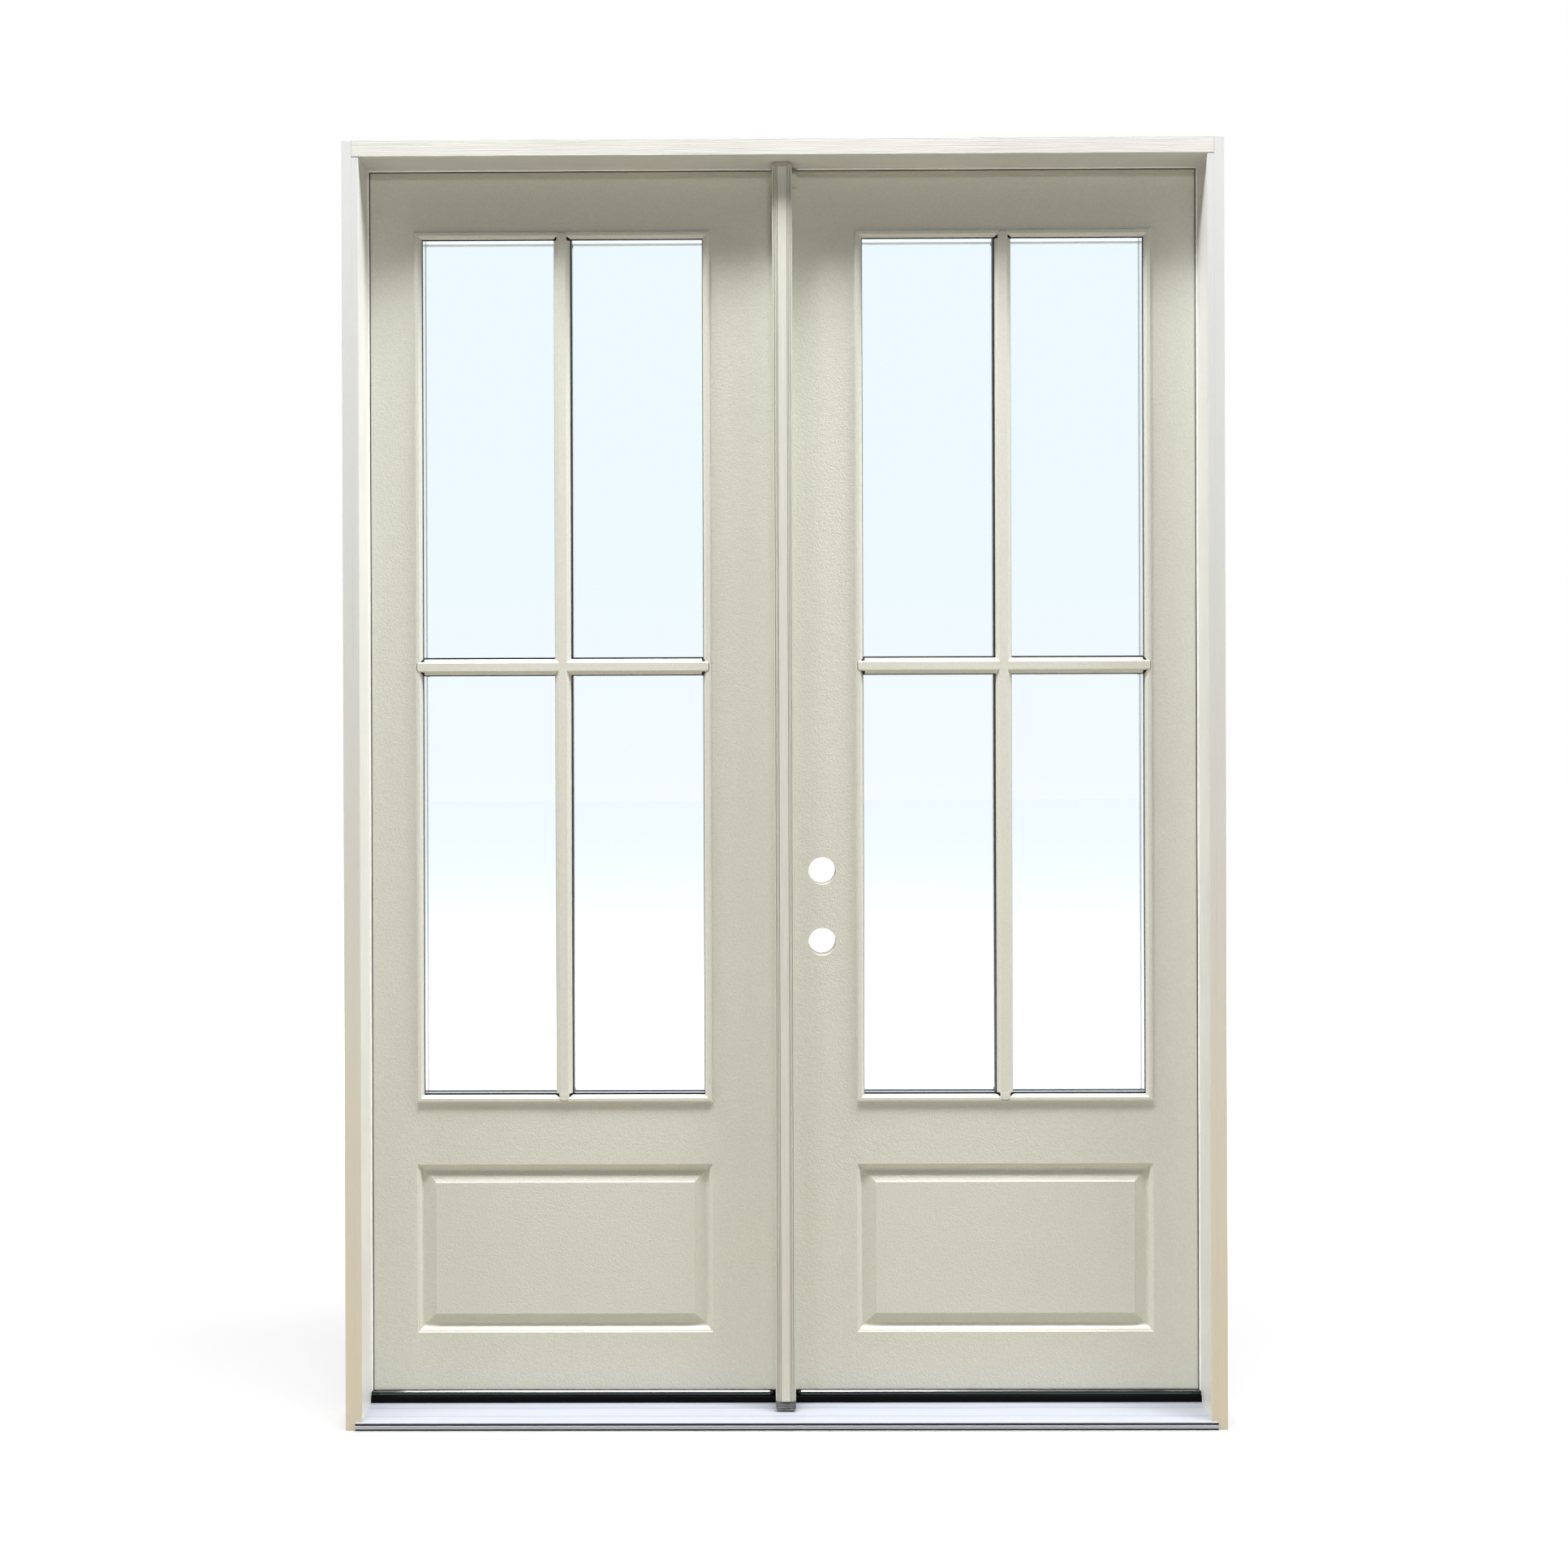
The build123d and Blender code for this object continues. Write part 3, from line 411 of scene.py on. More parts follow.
def lathe(profile, sides):
    """A surface of revolution: each (radius, height) point goes round the Z axis."""
    profile = np.asarray(profile, float)
    angle = np.arange(sides) * 2 * pi / sides
    radius, height = profile[:, 0], profile[:, 1]
    points = np.stack(
        np.broadcast_arrays(
            radius[:, None] * np.cos(angle), radius[:, None] * np.sin(angle), height[:, None]
        ),
        axis=-1,
    )
    return points.reshape(-1, 3), grid_faces(len(profile), sides, wrap_columns=True)


def copies(shape, places):
    """One shape set down at many places: each place adds its offset to every point."""
    points, faces = shape
    places = np.asarray(places, float)
    spread = (places[:, None, :] + points[None, :, :]).reshape(-1, 3)
    steps = np.arange(len(places))[:, None, None] * len(points)
    return spread, (faces[None, :, :] + steps).reshape(-1, faces.shape[1])


WELD, SLIVER, CREASE_ANGLE = 1e-6, 1e-7, radians(35)


def piece(name, shapes, material, body, crease=CREASE_ANGLE):
    """Make one object from shapes, close its poles, turn its faces out and hang it on a body."""
    points = np.concatenate([shape[0] for shape in shapes])
    offsets = np.cumsum([0] + [len(shape[0]) for shape in shapes[:-1]])
    faces = np.concatenate([shape[1] + offset for shape, offset in zip(shapes, offsets)])
    mesh = bpy.data.meshes.new(name)
    mesh.from_pydata(points.tolist(), [], faces.tolist())
    work = bmesh.new()
    work.from_mesh(mesh)
    bmesh.ops.remove_doubles(work, verts=work.verts, dist=WELD)
    bmesh.ops.dissolve_degenerate(work, edges=work.edges, dist=SLIVER)
    bmesh.ops.recalc_face_normals(work, faces=work.faces)
    work.to_mesh(mesh)
    work.free()
    mesh.shade_smooth()
    mesh.set_sharp_from_angle(angle=crease)
    mesh.materials.append(material)
    made = bpy.data.objects.new(name, mesh)
    bpy.context.scene.collection.objects.link(made)
    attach(made, body)
    return made


def facing(shape, direction):
    """A shape made along Z, turned to point along a direction."""
    matrix = np.array(Vector(direction).to_track_quat("Z", "Y").to_matrix())
    points, faces = shape
    return points @ matrix.T, faces


def carried(profile, path, across, up):
    """A closed profile carried along a path.

    Row i of the profile, or the one profile, gives a(s) and b(s), and the surface is
    P(s, t) = path(t) + a(s) across + b(s) up. Both ends close in a point.
    """
    profile = np.asarray(profile, float)
    path = np.asarray(path, float)
    if profile.ndim == 2:
        profile = np.broadcast_to(profile, (len(path), *profile.shape))
    across, up = np.asarray(across, float), np.asarray(up, float)
    rows = path[:, None, :] + profile[..., :1] * across + profile[..., 1:] * up
    ends = [np.broadcast_to(row.mean(axis=0), row.shape) for row in (rows[0], rows[-1])]
    rows = np.concatenate([ends[0][None], rows, ends[1][None]])
    count, columns = rows.shape[:2]
    return rows.reshape(-1, 3), grid_faces(count, columns, wrap_columns=True)


def arc(centre, radius, start, end, steps=9):
    """Points on an arc: centre + radius (cos a, sin a), with a in degrees."""
    angle = np.radians(np.linspace(start, end, steps))
    return np.asarray(centre) + radius * np.stack([np.cos(angle), np.sin(angle)], axis=-1)


SLOT_WIDTH, SLOT_LENGTH, SLOT_SOFTNESS = 0.14, 0.6, 0.12
HEAD_SINK = 0.0005


def screw_head(radius, crown, slot_depth, rings=11, sides=40):
    """A crossed screw head that points along Z.

    On the unit disc its height is crown (1 - 0.5 r^2) less slot_depth where a cross of two
    bars covers the disc, and its rim goes down below the face it sits on.
    """
    reach = np.append(np.linspace(0.0, 1.0, rings), 1.0)[:, None]
    angle = np.arange(sides) * 2 * pi / sides
    x, y = reach * np.cos(angle), reach * np.sin(angle)

    def inside(distance, edge):
        return np.clip((edge - np.abs(distance)) / SLOT_SOFTNESS + 0.5, 0.0, 1.0)

    bars = [
        inside(a, SLOT_WIDTH) * inside(b, SLOT_LENGTH) for a, b in ((x, y), (y, x))
    ]
    height = crown * (1 - 0.5 * reach**2) - slot_depth * np.maximum(*bars)
    height[-1] = -HEAD_SINK
    points = np.stack([x * radius, y * radius, height], axis=-1)
    return points.reshape(-1, 3), grid_faces(rings + 1, sides, wrap_columns=True)


# Settings


class PaintSettings(bpy.types.PropertyGroup):
    """Colours of the painted and moulded surfaces."""

    frame_colour: FloatVectorProperty(
        name="Frame", description="Primer on the jambs and the head", subtype="COLOR",
        size=3, min=0.0, max=1.0, default=srgb(231, 232, 228),
    )
    leaf_colour: FloatVectorProperty(
        name="Leaves", description="Primer on the moulded skins", subtype="COLOR",
        size=3, min=0.0, max=1.0, default=srgb(217, 218, 208),
    )
    glazing_colour: FloatVectorProperty(
        name="Glazing frames", description="Plastic round the glass", subtype="COLOR",
        size=3, min=0.0, max=1.0, default=srgb(220, 221, 211),
    )
    stipple: FloatProperty(
        name="Stipple", description="Strength of the fine texture on the skins",
        subtype="FACTOR", min=0.0, max=1.0, default=0.42,
    )


class FittingSettings(bpy.types.PropertyGroup):
    """Sizes of the small fittings."""

    screw_radius: FloatProperty(
        name="Screw head", description="Radius of a hinge screw's head",
        unit="LENGTH", min=0.001, max=0.01, default=0.0041,
    )
    screws_per_plate: IntProperty(
        name="Screws", description="Screws in each hinge plate", min=2, max=6, default=3,
    )
    hinge_height: FloatProperty(
        name="Hinge height", description="Height of each hinge", unit="LENGTH",
        min=0.05, max=0.2, default=0.1016,
    )
    hinge_count: IntProperty(
        name="Hinges", description="Hinges on each leaf", min=2, max=6, default=4,
    )
    plug_radius: FloatProperty(
        name="Plug", description="Radius of the plugs in the inner glazing frames",
        unit="LENGTH", min=0.001, max=0.01, default=0.0021,
    )


class StageSettings(bpy.types.PropertyGroup):
    """Lamps, background and camera."""

    overhead: FloatProperty(
        name="Overhead lamp", description="Power of the long lamp high above the doorway",
        unit="POWER", min=0.0, default=985.0,
    )
    side_right: FloatProperty(
        name="Right lamp", description="Power of the lamp beyond the right jamb",
        unit="POWER", min=0.0, default=198.0,
    )
    side_left: FloatProperty(
        name="Left lamp", description="Power of the lamp beyond the left jamb",
        unit="POWER", min=0.0, default=163.0,
    )
    front: FloatProperty(
        name="Front lamp", description="Power of the dim lamp in front",
        unit="POWER", min=0.0, default=31.0,
    )
    back: FloatProperty(
        name="Back lamp", description="Power of the lamp on the inner side of the door",
        unit="POWER", min=0.0, default=255.0,
    )
    surround: FloatProperty(
        name="Surround", description="Strength of the even light from all round",
        subtype="FACTOR", min=0.0, max=1.0, default=0.0,
    )
    camera_place: FloatVectorProperty(
        name="Camera place", description="Where the camera stands", subtype="TRANSLATION",
        size=3, default=(-0.0343, -2.868925, 1.3232),
    )
    camera_turn: FloatVectorProperty(
        name="Camera turn", description="How the camera is turned", subtype="EULER",
        size=3, default=(radians(89.976), radians(0.193), radians(0.2789)),
    )
    lens: FloatProperty(
        name="Lens", description="Focal length in millimetres", unit="CAMERA", min=1.0,
        default=33.538,
    )


class DoorOperator:
    """What every operator here shares: it is listed, and it can be undone."""

    bl_options = {"REGISTER", "UNDO"}


# Finishes


GRAIN_UP, GRAIN_LEVEL = (420.0, 420.0, 9.0), (9.0, 420.0, 420.0)
# The head's primer is the frame's, darkened to a share of it as painted shade
HEAD_SHADE_SHARE, HEAD_ROUGHNESS, HEAD_EDGE = 0.87, 0.5, 0.0004


class DOOR_OT_paint_frame(DoorOperator, bpy.types.Operator):
    """Paint the jambs, the head and their stops"""

    bl_idname = "door.paint_frame"
    bl_label = "Paint the frame"

    def execute(self, context):
        colour = context.scene.door_paint.frame_colour
        # The uprights' front faces get painted shade and painted warm light
        upright = painted_wood("frame_primer_upright", colour, GRAIN_UP, foot=True)
        # A darker copy for the head: painted shade
        level = painted_wood(
            "frame_primer_level", darker(colour, HEAD_SHADE_SHARE), GRAIN_LEVEL, HEAD_ROUGHNESS,
            HEAD_EDGE,
        )
        dress(upright, "left_jamb", "right_jamb", "left_stop", "right_stop")
        dress(level, "head_jamb", "head_stop")
        return {"FINISHED"}


RINGS_UP, RINGS_LEVEL = (260.0, 260.0, 5.0), (5.0, 260.0, 260.0)
CORE_CELLS = 420.0
QUIRKS, QUIRK_HALF, QUIRK_SHADE = (0.0089, 0.0119, 0.0151), 0.0007, 0.3
BEAD_GRAIN = (420.0, 420.0, 12.0)
BEAD_DARK, BEAD_RELIEF, BEAD_EDGE = 0.93, (0.6, 0.0005), 0.0002


class DOOR_OT_finish_leaves(DoorOperator, bpy.types.Operator):
    """Finish the skins, the stiles and the rails of both leaves"""

    bl_idname = "door.finish_leaves"
    bl_label = "Finish the leaves"

    def execute(self, context):
        paint = context.scene.door_paint
        skin = moulded_skin("leaf_primer", paint.leaf_colour, paint.stipple)
        upright = bare_wood("stile_pine", srgb(205, 170, 120), RINGS_UP)
        level = bare_wood("rail_pine", srgb(200, 165, 115), RINGS_LEVEL)
        block = bare_wood("lock_block_wood", srgb(232, 226, 214), RINGS_UP)
        core = soft_foam("core_foam", srgb(236, 222, 170), CORE_CELLS)
        for leaf in LEAVES:
            dress(skin, f"{leaf}_outer_skin", f"{leaf}_inner_skin")
            dress(upright, f"{leaf}_hinge_stile", f"{leaf}_lock_stile")
            dress(level, f"{leaf}_top_rail", f"{leaf}_bottom_rail")
            dress(core, f"{leaf}_foam_core")
        dress(block, "right_lock_block")
        dress(self.beaded_primer(paint.leaf_colour), "astragal")
        return {"FINISHED"}

    def beaded_primer(self, colour):
        """Primer on the astragal, with shaded quirks between its beads at both edges."""
        paint = Finish("astragal_primer")
        reach = paint.math("ABSOLUTE", paint.axis("X"))
        quirks = paint.bands(reach, [(place, place, QUIRK_HALF) for place in QUIRKS])
        strands = paint.grain(BEAD_GRAIN, detail=4.0, roughness=0.65)
        base = paint.toned(paint.between(strands, *EVEN), colour, BEAD_DARK)
        return paint.shade(
            Base_Color=paint.mix(quirks, base, darker(colour, QUIRK_SHADE)),
            Roughness=0.34 + 0.1 * strands,
            Normal=paint.bump(strands * 0.3 - quirks, *BEAD_RELIEF, BEAD_EDGE),
        )


SPACER_GRAIN, SPACER_ROUGHNESS, SPACER_LINES = (12.0, 300.0, 12.0), 0.16, 0.05
GLAZING_STIPPLE, BAR_STIPPLE, BAR_EDGE = 0.16, 0.1, 0.0006


class DOOR_OT_finish_glazing(DoorOperator, bpy.types.Operator):
    """Finish the glazing frames, the grilles and the glass"""

    bl_idname = "door.finish_glazing"
    bl_label = "Finish the glazing"

    def execute(self, context):
        paint = context.scene.door_paint
        plastic = moulded_skin("glazing_plastic", paint.glazing_colour, GLAZING_STIPPLE)
        glass = clear_glass("clear_glass")
        spacer = drawn_metal(
            "spacer_metal", srgb(250, 252, 253), SPACER_GRAIN, SPACER_ROUGHNESS, SPACER_LINES
        )
        bars = moulded_skin("inner_bar_plastic", srgb(196, 197, 190), BAR_STIPPLE, BAR_EDGE)
        for leaf in LEAVES:
            for face in ("outer", "inner"):
                dress(plastic, f"{leaf}_{face}_glazing_frame", f"{leaf}_{face}_grille")
                dress(glass, f"{leaf}_{face}_pane")
            dress(spacer, f"{leaf}_glass_spacer")
            dress(bars, f"{leaf}_shadow_bars")
        return {"FINISHED"}


SILL_RINGS = (4.0, 200.0, 200.0)
TREAD_GRAIN, TREAD_DRIFT = (3.0, 700.0, 700.0), (5.0, 0.0, 0.0)
# Rolled lines by depth and half width, in relief and as bluish bands of painted reflection, and
# the painted shade strips of the nose by their heights
TREAD_REFLECTION_BANDS = ((-0.0165, 0.005), (-0.0435, 0.0035), (-0.004, 0.002))
TREAD_GRAINED, TREAD_SWAY, TREAD_METALLIC = (0.3, 0.75), 0.006, 0.25
TREAD_RELIEF, TREAD_EDGE = (0.3, 0.0004), 0.0005
NOSE_SHADE_STRIPS = ((0.0117, 0.0155), (0.0078, 0.0086), (0.0018, 0.0052))
NOSE_SHADE_BLUR, NOSE_DEPTHS, NOSE_SHADE_COLOUR = 0.0003, (0.003, 0.0045), (0.006, 0.006, 0.008)


class DOOR_OT_finish_sill(DoorOperator, bpy.types.Operator):
    """Finish the base, the deck and the cap of the sill"""

    bl_idname = "door.finish_sill"
    bl_label = "Finish the sill"

    def execute(self, context):
        dress(self.tread_metal(), "sill_deck")
        dress(bare_wood("sill_wood", srgb(196, 160, 112), SILL_RINGS), "sill_base")
        cap = black_rubber(
            "cap_plastic", (0.003, 0.003, 0.003), gloss=0.3, ripple=0.1, shine=0.04
        )
        dress(cap, "sill_cap")
        return {"FINISHED"}

    def tread_metal(self):
        """Pale coated aluminium with soft rolled lines, in relief and as bluish bands of painted
        reflection, and dark strips of painted shade on its nose.

        The lines lie at set depths that drift by a few millimetres along the sill.
        """
        metal = Finish("tread_metal")
        nose = edges("sill_deck")[0][1]
        depth, height = metal.axis("Y"), metal.axis("Z")
        grain = metal.grain(TREAD_GRAIN, roughness=0.6)
        drift = (metal.grain(TREAD_DRIFT, detail=1.0) - 0.5) * TREAD_SWAY
        # Painted reflection: bluish bands along the deck
        lines = metal.bands(
            depth + drift, [(place, place, half_width) for place, half_width in TREAD_REFLECTION_BANDS]
        )
        tone = lines * 0.75 + metal.between(grain, *TREAD_GRAINED) * 0.25
        coat_and_reflections = metal.mix(tone, srgb(184, 187, 193), srgb(158, 167, 187))
        # Painted shade: dark strips on the nose's front face
        face = 1.0 - metal.between(depth, nose + NOSE_DEPTHS[0], nose + NOSE_DEPTHS[1])
        dark = face * metal.bands(height, [(*strip, NOSE_SHADE_BLUR) for strip in NOSE_SHADE_STRIPS])
        return metal.shade(
            Base_Color=metal.mix(dark, coat_and_reflections, NOSE_SHADE_COLOUR),
            Metallic=TREAD_METALLIC * (1.0 - dark),
            Roughness=0.36 + 0.1 * grain + 0.4 * dark,
            Normal=metal.bump(grain + lines * 0.5, *TREAD_RELIEF, TREAD_EDGE),
        )


STRIP_CELLS, PAD_CELLS = 900.0, 700.0
RIB_STREAKS, RIB_FACE = (60.0, 400.0, 400.0), 0.0004
RIB_BLACK, RIB_HIGHLIGHT = (0.006, 0.006, 0.007), (0.26, 0.265, 0.27)
RIB_SHINE, RIB_RELIEF, RIB_EDGE = 0.3, (0.2, 0.0006), 0.0003


class DOOR_OT_finish_seals(DoorOperator, bpy.types.Operator):
    """Finish the rubber and foam seals"""

    bl_idname = "door.finish_seals"
    bl_label = "Finish the seals"

    def execute(self, context):
        rubber = black_rubber(
            "seal_rubber", (0.008, 0.008, 0.009), gloss=0.16, ripple=0.3, shine=0.2
        )
        foam = soft_foam("strip_foam", srgb(240, 239, 232), STRIP_CELLS)
        pad = soft_foam("pad_foam", srgb(216, 214, 207), PAD_CELLS)
        dress(rubber, "left_bottom_sweep", "right_bottom_sweep")
        dress(self.ribbed_rubber(), "astragal_boot")
        dress(
            foam, "left_weatherstrip", "right_weatherstrip", "head_weatherstrip",
            "astragal_seal",
        )
        dress(pad, "corner_pads", "astragal_pads")
        return {"FINISHED"}

    def ribbed_rubber(self):
        """The rubber of the boot: black, with a painted highlight on the fronts of its ribs."""
        rubber = Finish("boot_rubber")
        front = edges("astragal_boot")[0][1]
        streaks = rubber.grain(RIB_STREAKS)
        ribs = 1.0 - rubber.between(rubber.axis("Y"), front + RIB_FACE, front + 2 * RIB_FACE)
        # Painted highlight on the rib fronts, broken up by streaks
        pale = ribs * (0.35 + 0.65 * rubber.between(streaks, *EVEN))
        return rubber.shade(
            Base_Color=rubber.mix(pale, RIB_BLACK, RIB_HIGHLIGHT),
            Roughness=0.24 + 0.2 * streaks, Specular_IOR_Level=RIB_SHINE,
            Normal=rubber.bump(streaks, *RIB_RELIEF, RIB_EDGE),
        )


HINGE_GRAIN, BOLT_GRAIN = (500.0, 500.0, 30.0), (60.0, 60.0, 500.0)


class DOOR_OT_finish_hardware(DoorOperator, bpy.types.Operator):
    """Finish the hinges, the flush bolts and their strikes"""

    bl_idname = "door.finish_hardware"
    bl_label = "Finish the hardware"

    def execute(self, context):
        hinge = drawn_metal(
            "hinge_nickel", srgb(176, 172, 162), HINGE_GRAIN, roughness=0.32, line_depth=0.15
        )
        steel = drawn_metal(
            "bright_steel", srgb(190, 190, 188), BOLT_GRAIN, roughness=0.3, line_depth=0.15
        )
        for leaf in LEAVES:
            dress(hinge, f"{leaf}_jamb_hinges", f"{leaf}_leaf_hinges")
        dress(steel, "top_flush_bolt", "bottom_flush_bolt", "head_strike", "sill_strike")
        return {"FINISHED"}


# Fittings


def side_of(leaf):
    """-1 for the left leaf and 1 for the right leaf."""
    return -1 if leaf == "left" else 1


def hinge_heights(leaf, settings):
    """Heights of the middles of a leaf's hinges."""
    low, high = edges(f"{leaf}_jamb_hinges")
    half = settings.hinge_height / 2
    return np.linspace(low[2] + half, high[2] - half, settings.hinge_count)


SCREW_GRAIN, SCREW_LINES = (400.0, 400.0, 400.0), 0.1
PROUD_CROWN, PROUD_SLOT = 0.0007, 0.00055
FLUSH_CROWN, FLUSH_SLOT = 0.00024, 0.0002
PLATE_DEPTH = 0.036
PLATE_SCREW_SPREAD, PLATE_SCREW_STAGGER = 0.076, 0.0065


class DOOR_OT_add_hinge_screws(DoorOperator, bpy.types.Operator):
    """Add the crossed screws of every hinge plate"""

    bl_idname = "door.add_hinge_screws"
    bl_label = "Add the hinge screws"

    def execute(self, context):
        settings = context.scene.door_fittings
        metal = drawn_metal(
            "screw_nickel", srgb(168, 164, 155), SCREW_GRAIN, roughness=0.3,
            line_depth=SCREW_LINES,
        )
        screw = screw_head(settings.screw_radius, PROUD_CROWN, PROUD_SLOT)
        count = settings.screws_per_plate
        spread = np.linspace(-0.5, 0.5, count) * PLATE_SCREW_SPREAD
        stagger = np.where(np.arange(count) % 2, -1.0, 1.0) * PLATE_SCREW_STAGGER
        for leaf in LEAVES:
            side = side_of(leaf)
            inner, outer = (1, 0) if side < 0 else (0, 1)
            depth = edges(f"{leaf}_leaf_hinges")[0][1] + PLATE_DEPTH / 2
            jamb_face = edges(f"{leaf}_jamb")[inner][0]
            leaf_face = edges(f"{leaf}_hinge_stile")[outer][0]
            for name, x, direction, body in (
                (f"{leaf}_jamb_hinge_screws", jamb_face, -side, "frame"),
                (f"{leaf}_leaf_hinge_screws", leaf_face, side, BODY_OF[leaf]),
            ):
                places = [
                    (x, depth + shift, middle + rise)
                    for middle in hinge_heights(leaf, settings)
                    for rise, shift in zip(spread, stagger)
                ]
                heads = copies(facing(screw, (direction, 0, 0)), places)
                piece(name, [heads], metal, body)
        return {"FINISHED"}


PIN_GRAIN = (300.0, 300.0, 60.0)
PIN_SIDES = 28
PIN_BUTTON = (
    (0.0, 0.0022), (0.0018, 0.0021), (0.0034, 0.0017), (0.0044, 0.001),
    (0.0044, 0.0004), (0.0035, 0.0), (0.0035, -0.0006), (0.0, -0.0006),
)
KNUCKLE_RADIUS = 0.00635


class DOOR_OT_add_pin_tips(DoorOperator, bpy.types.Operator):
    """Add the button tips at both ends of every hinge pin"""

    bl_idname = "door.add_pin_tips"
    bl_label = "Add the pin tips"

    def execute(self, context):
        settings = context.scene.door_fittings
        metal = drawn_metal(
            "pin_nickel", srgb(176, 172, 162), PIN_GRAIN, roughness=0.28, line_depth=SCREW_LINES
        )
        button = lathe(PIN_BUTTON, PIN_SIDES)
        half = settings.hinge_height / 2
        for leaf in LEAVES:
            side = side_of(leaf)
            low, high = edges(f"{leaf}_jamb_hinges")
            inner = low[0] if side > 0 else high[0]
            pin_x = inner + side * KNUCKLE_RADIUS
            pin_y = high[1] - KNUCKLE_RADIUS
            shapes = [
                copies(
                    facing(button, (0, 0, way)),
                    [(pin_x, pin_y, z + way * half) for z in hinge_heights(leaf, settings)],
                )
                for way in (1, -1)
            ]
            piece(f"{leaf}_hinge_pin_tips", shapes, metal, "frame")
        return {"FINISHED"}


CAP_SCREW_PLACES, CAP_SCREW_SHIFT = (-0.72, -0.43, -0.14, 0.14, 0.43, 0.72), 0.0035
STRIKE_SCREW_REACH = 0.0175
ASTRAGAL_SCREWS, ASTRAGAL_SCREW_INSET = 7, 0.11


class DOOR_OT_add_flat_screws(DoorOperator, bpy.types.Operator):
    """Add the screws of the sill's cap, the strikes and the astragal"""

    bl_idname = "door.add_flat_screws"
    bl_label = "Add the other screws"

    def execute(self, context):
        radius = context.scene.door_fittings.screw_radius
        metal = drawn_metal(
            "screw_zinc", srgb(186, 186, 182), SCREW_GRAIN, roughness=0.32,
            line_depth=SCREW_LINES,
        )
        flush = screw_head(radius, FLUSH_CROWN, FLUSH_SLOT)
        proud = screw_head(radius, PROUD_CROWN, PROUD_SLOT)
        cap_low, cap_high = edges("sill_cap")
        strike_low, strike_high = edges("sill_strike")
        x, y = (strike_low + strike_high)[:2] / 2
        pair = [(x + reach, y) for reach in (-STRIKE_SCREW_REACH, STRIKE_SCREW_REACH)]
        cap_y = (cap_low[1] + cap_high[1]) / 2 + CAP_SCREW_SHIFT
        sill = [(cap_x, cap_y, cap_high[2]) for cap_x in CAP_SCREW_PLACES]
        sill += [(*place, strike_high[2]) for place in pair]
        head = [(*place, edges("head_strike")[0][2]) for place in pair]
        low, high = edges("astragal")
        heights = np.linspace(
            low[2] + ASTRAGAL_SCREW_INSET, high[2] - ASTRAGAL_SCREW_INSET, ASTRAGAL_SCREWS
        )
        inner = [(x, high[1], z) for z in heights]
        for name, screw, direction, places, body in (
            ("sill_screws", flush, (0, 0, 1), sill, "frame"),
            ("head_strike_screws", proud, (0, 0, -1), head, "frame"),
            ("astragal_screws", proud, (0, 1, 0), inner, "left_leaf"),
        ):
            piece(name, [copies(facing(screw, direction), places)], metal, body)
        return {"FINISHED"}


PLUG_PROFILE = ((0.0, 0.0004), (0.7, 0.00036), (0.93, 0.00022), (1.0, 0.0), (1.0, -0.0005))
PLUG_SIDES, PLUG_STIPPLE = 24, 0.1
PLUG_INSET, PLUG_CORNER = 0.0064, 0.07
PLUGS_ACROSS, PLUGS_UP = 4, 8


class DOOR_OT_add_plugs(DoorOperator, bpy.types.Operator):
    """Add the round plugs over the screws of the inner glazing frames"""

    bl_idname = "door.add_plugs"
    bl_label = "Add the frame plugs"

    def execute(self, context):
        radius = context.scene.door_fittings.plug_radius
        plastic = moulded_skin(
            "plug_plastic", context.scene.door_paint.glazing_colour, PLUG_STIPPLE
        )
        outline = [(radius * share, height) for share, height in PLUG_PROFILE]
        plug = facing(lathe(outline, PLUG_SIDES), (0, 1, 0))
        for leaf in LEAVES:
            low, high = edges(f"{leaf}_inner_glazing_frame")
            left, right = low[0] + PLUG_INSET, high[0] - PLUG_INSET
            bottom, top = low[2] + PLUG_INSET, high[2] - PLUG_INSET
            heights = np.linspace(bottom + PLUG_CORNER, top - PLUG_CORNER, PLUGS_UP)
            spans = np.linspace(left + PLUG_CORNER, right - PLUG_CORNER, PLUGS_ACROSS)
            places = [(x, high[1], z) for x in (left, right) for z in heights]
            places += [(x, high[1], z) for z in (bottom, top) for x in spans]
            piece(
                f"{leaf}_frame_plugs", [copies(plug, places)], plastic, BODY_OF[leaf],
            )
        return {"FINISHED"}


# A bar's section has a flat crown between two bevels: half widths, height and depth
MOULDING_WIDTH = 0.014
BAR_HALF, BAR_FLAT_HALF, BAR_RISE, BAR_ROOT = 0.0155, 0.0078, 0.0062, 0.0085
TONGUE_LIFT, TONGUE_LENGTH, TONGUE_REACH, TONGUE_NARROW = 0.0004, 0.013, 0.0006, 0.36
TONGUE_STEPS, TONGUE_STIPPLE, TONGUE_EDGE, SHADOW_MARGIN = 12, 0.12, 0.0004, 0.0011
# The tape is real, and along each light's bottom edge it is widened as painted shade
TAPE_HIDDEN, TAPE_SEEN, TAPE_SHADE_FOOT = 0.0015, 0.0009, 0.0034
TAPE_LIFT, TAPE_THICKNESS = 0.00005, 0.0004


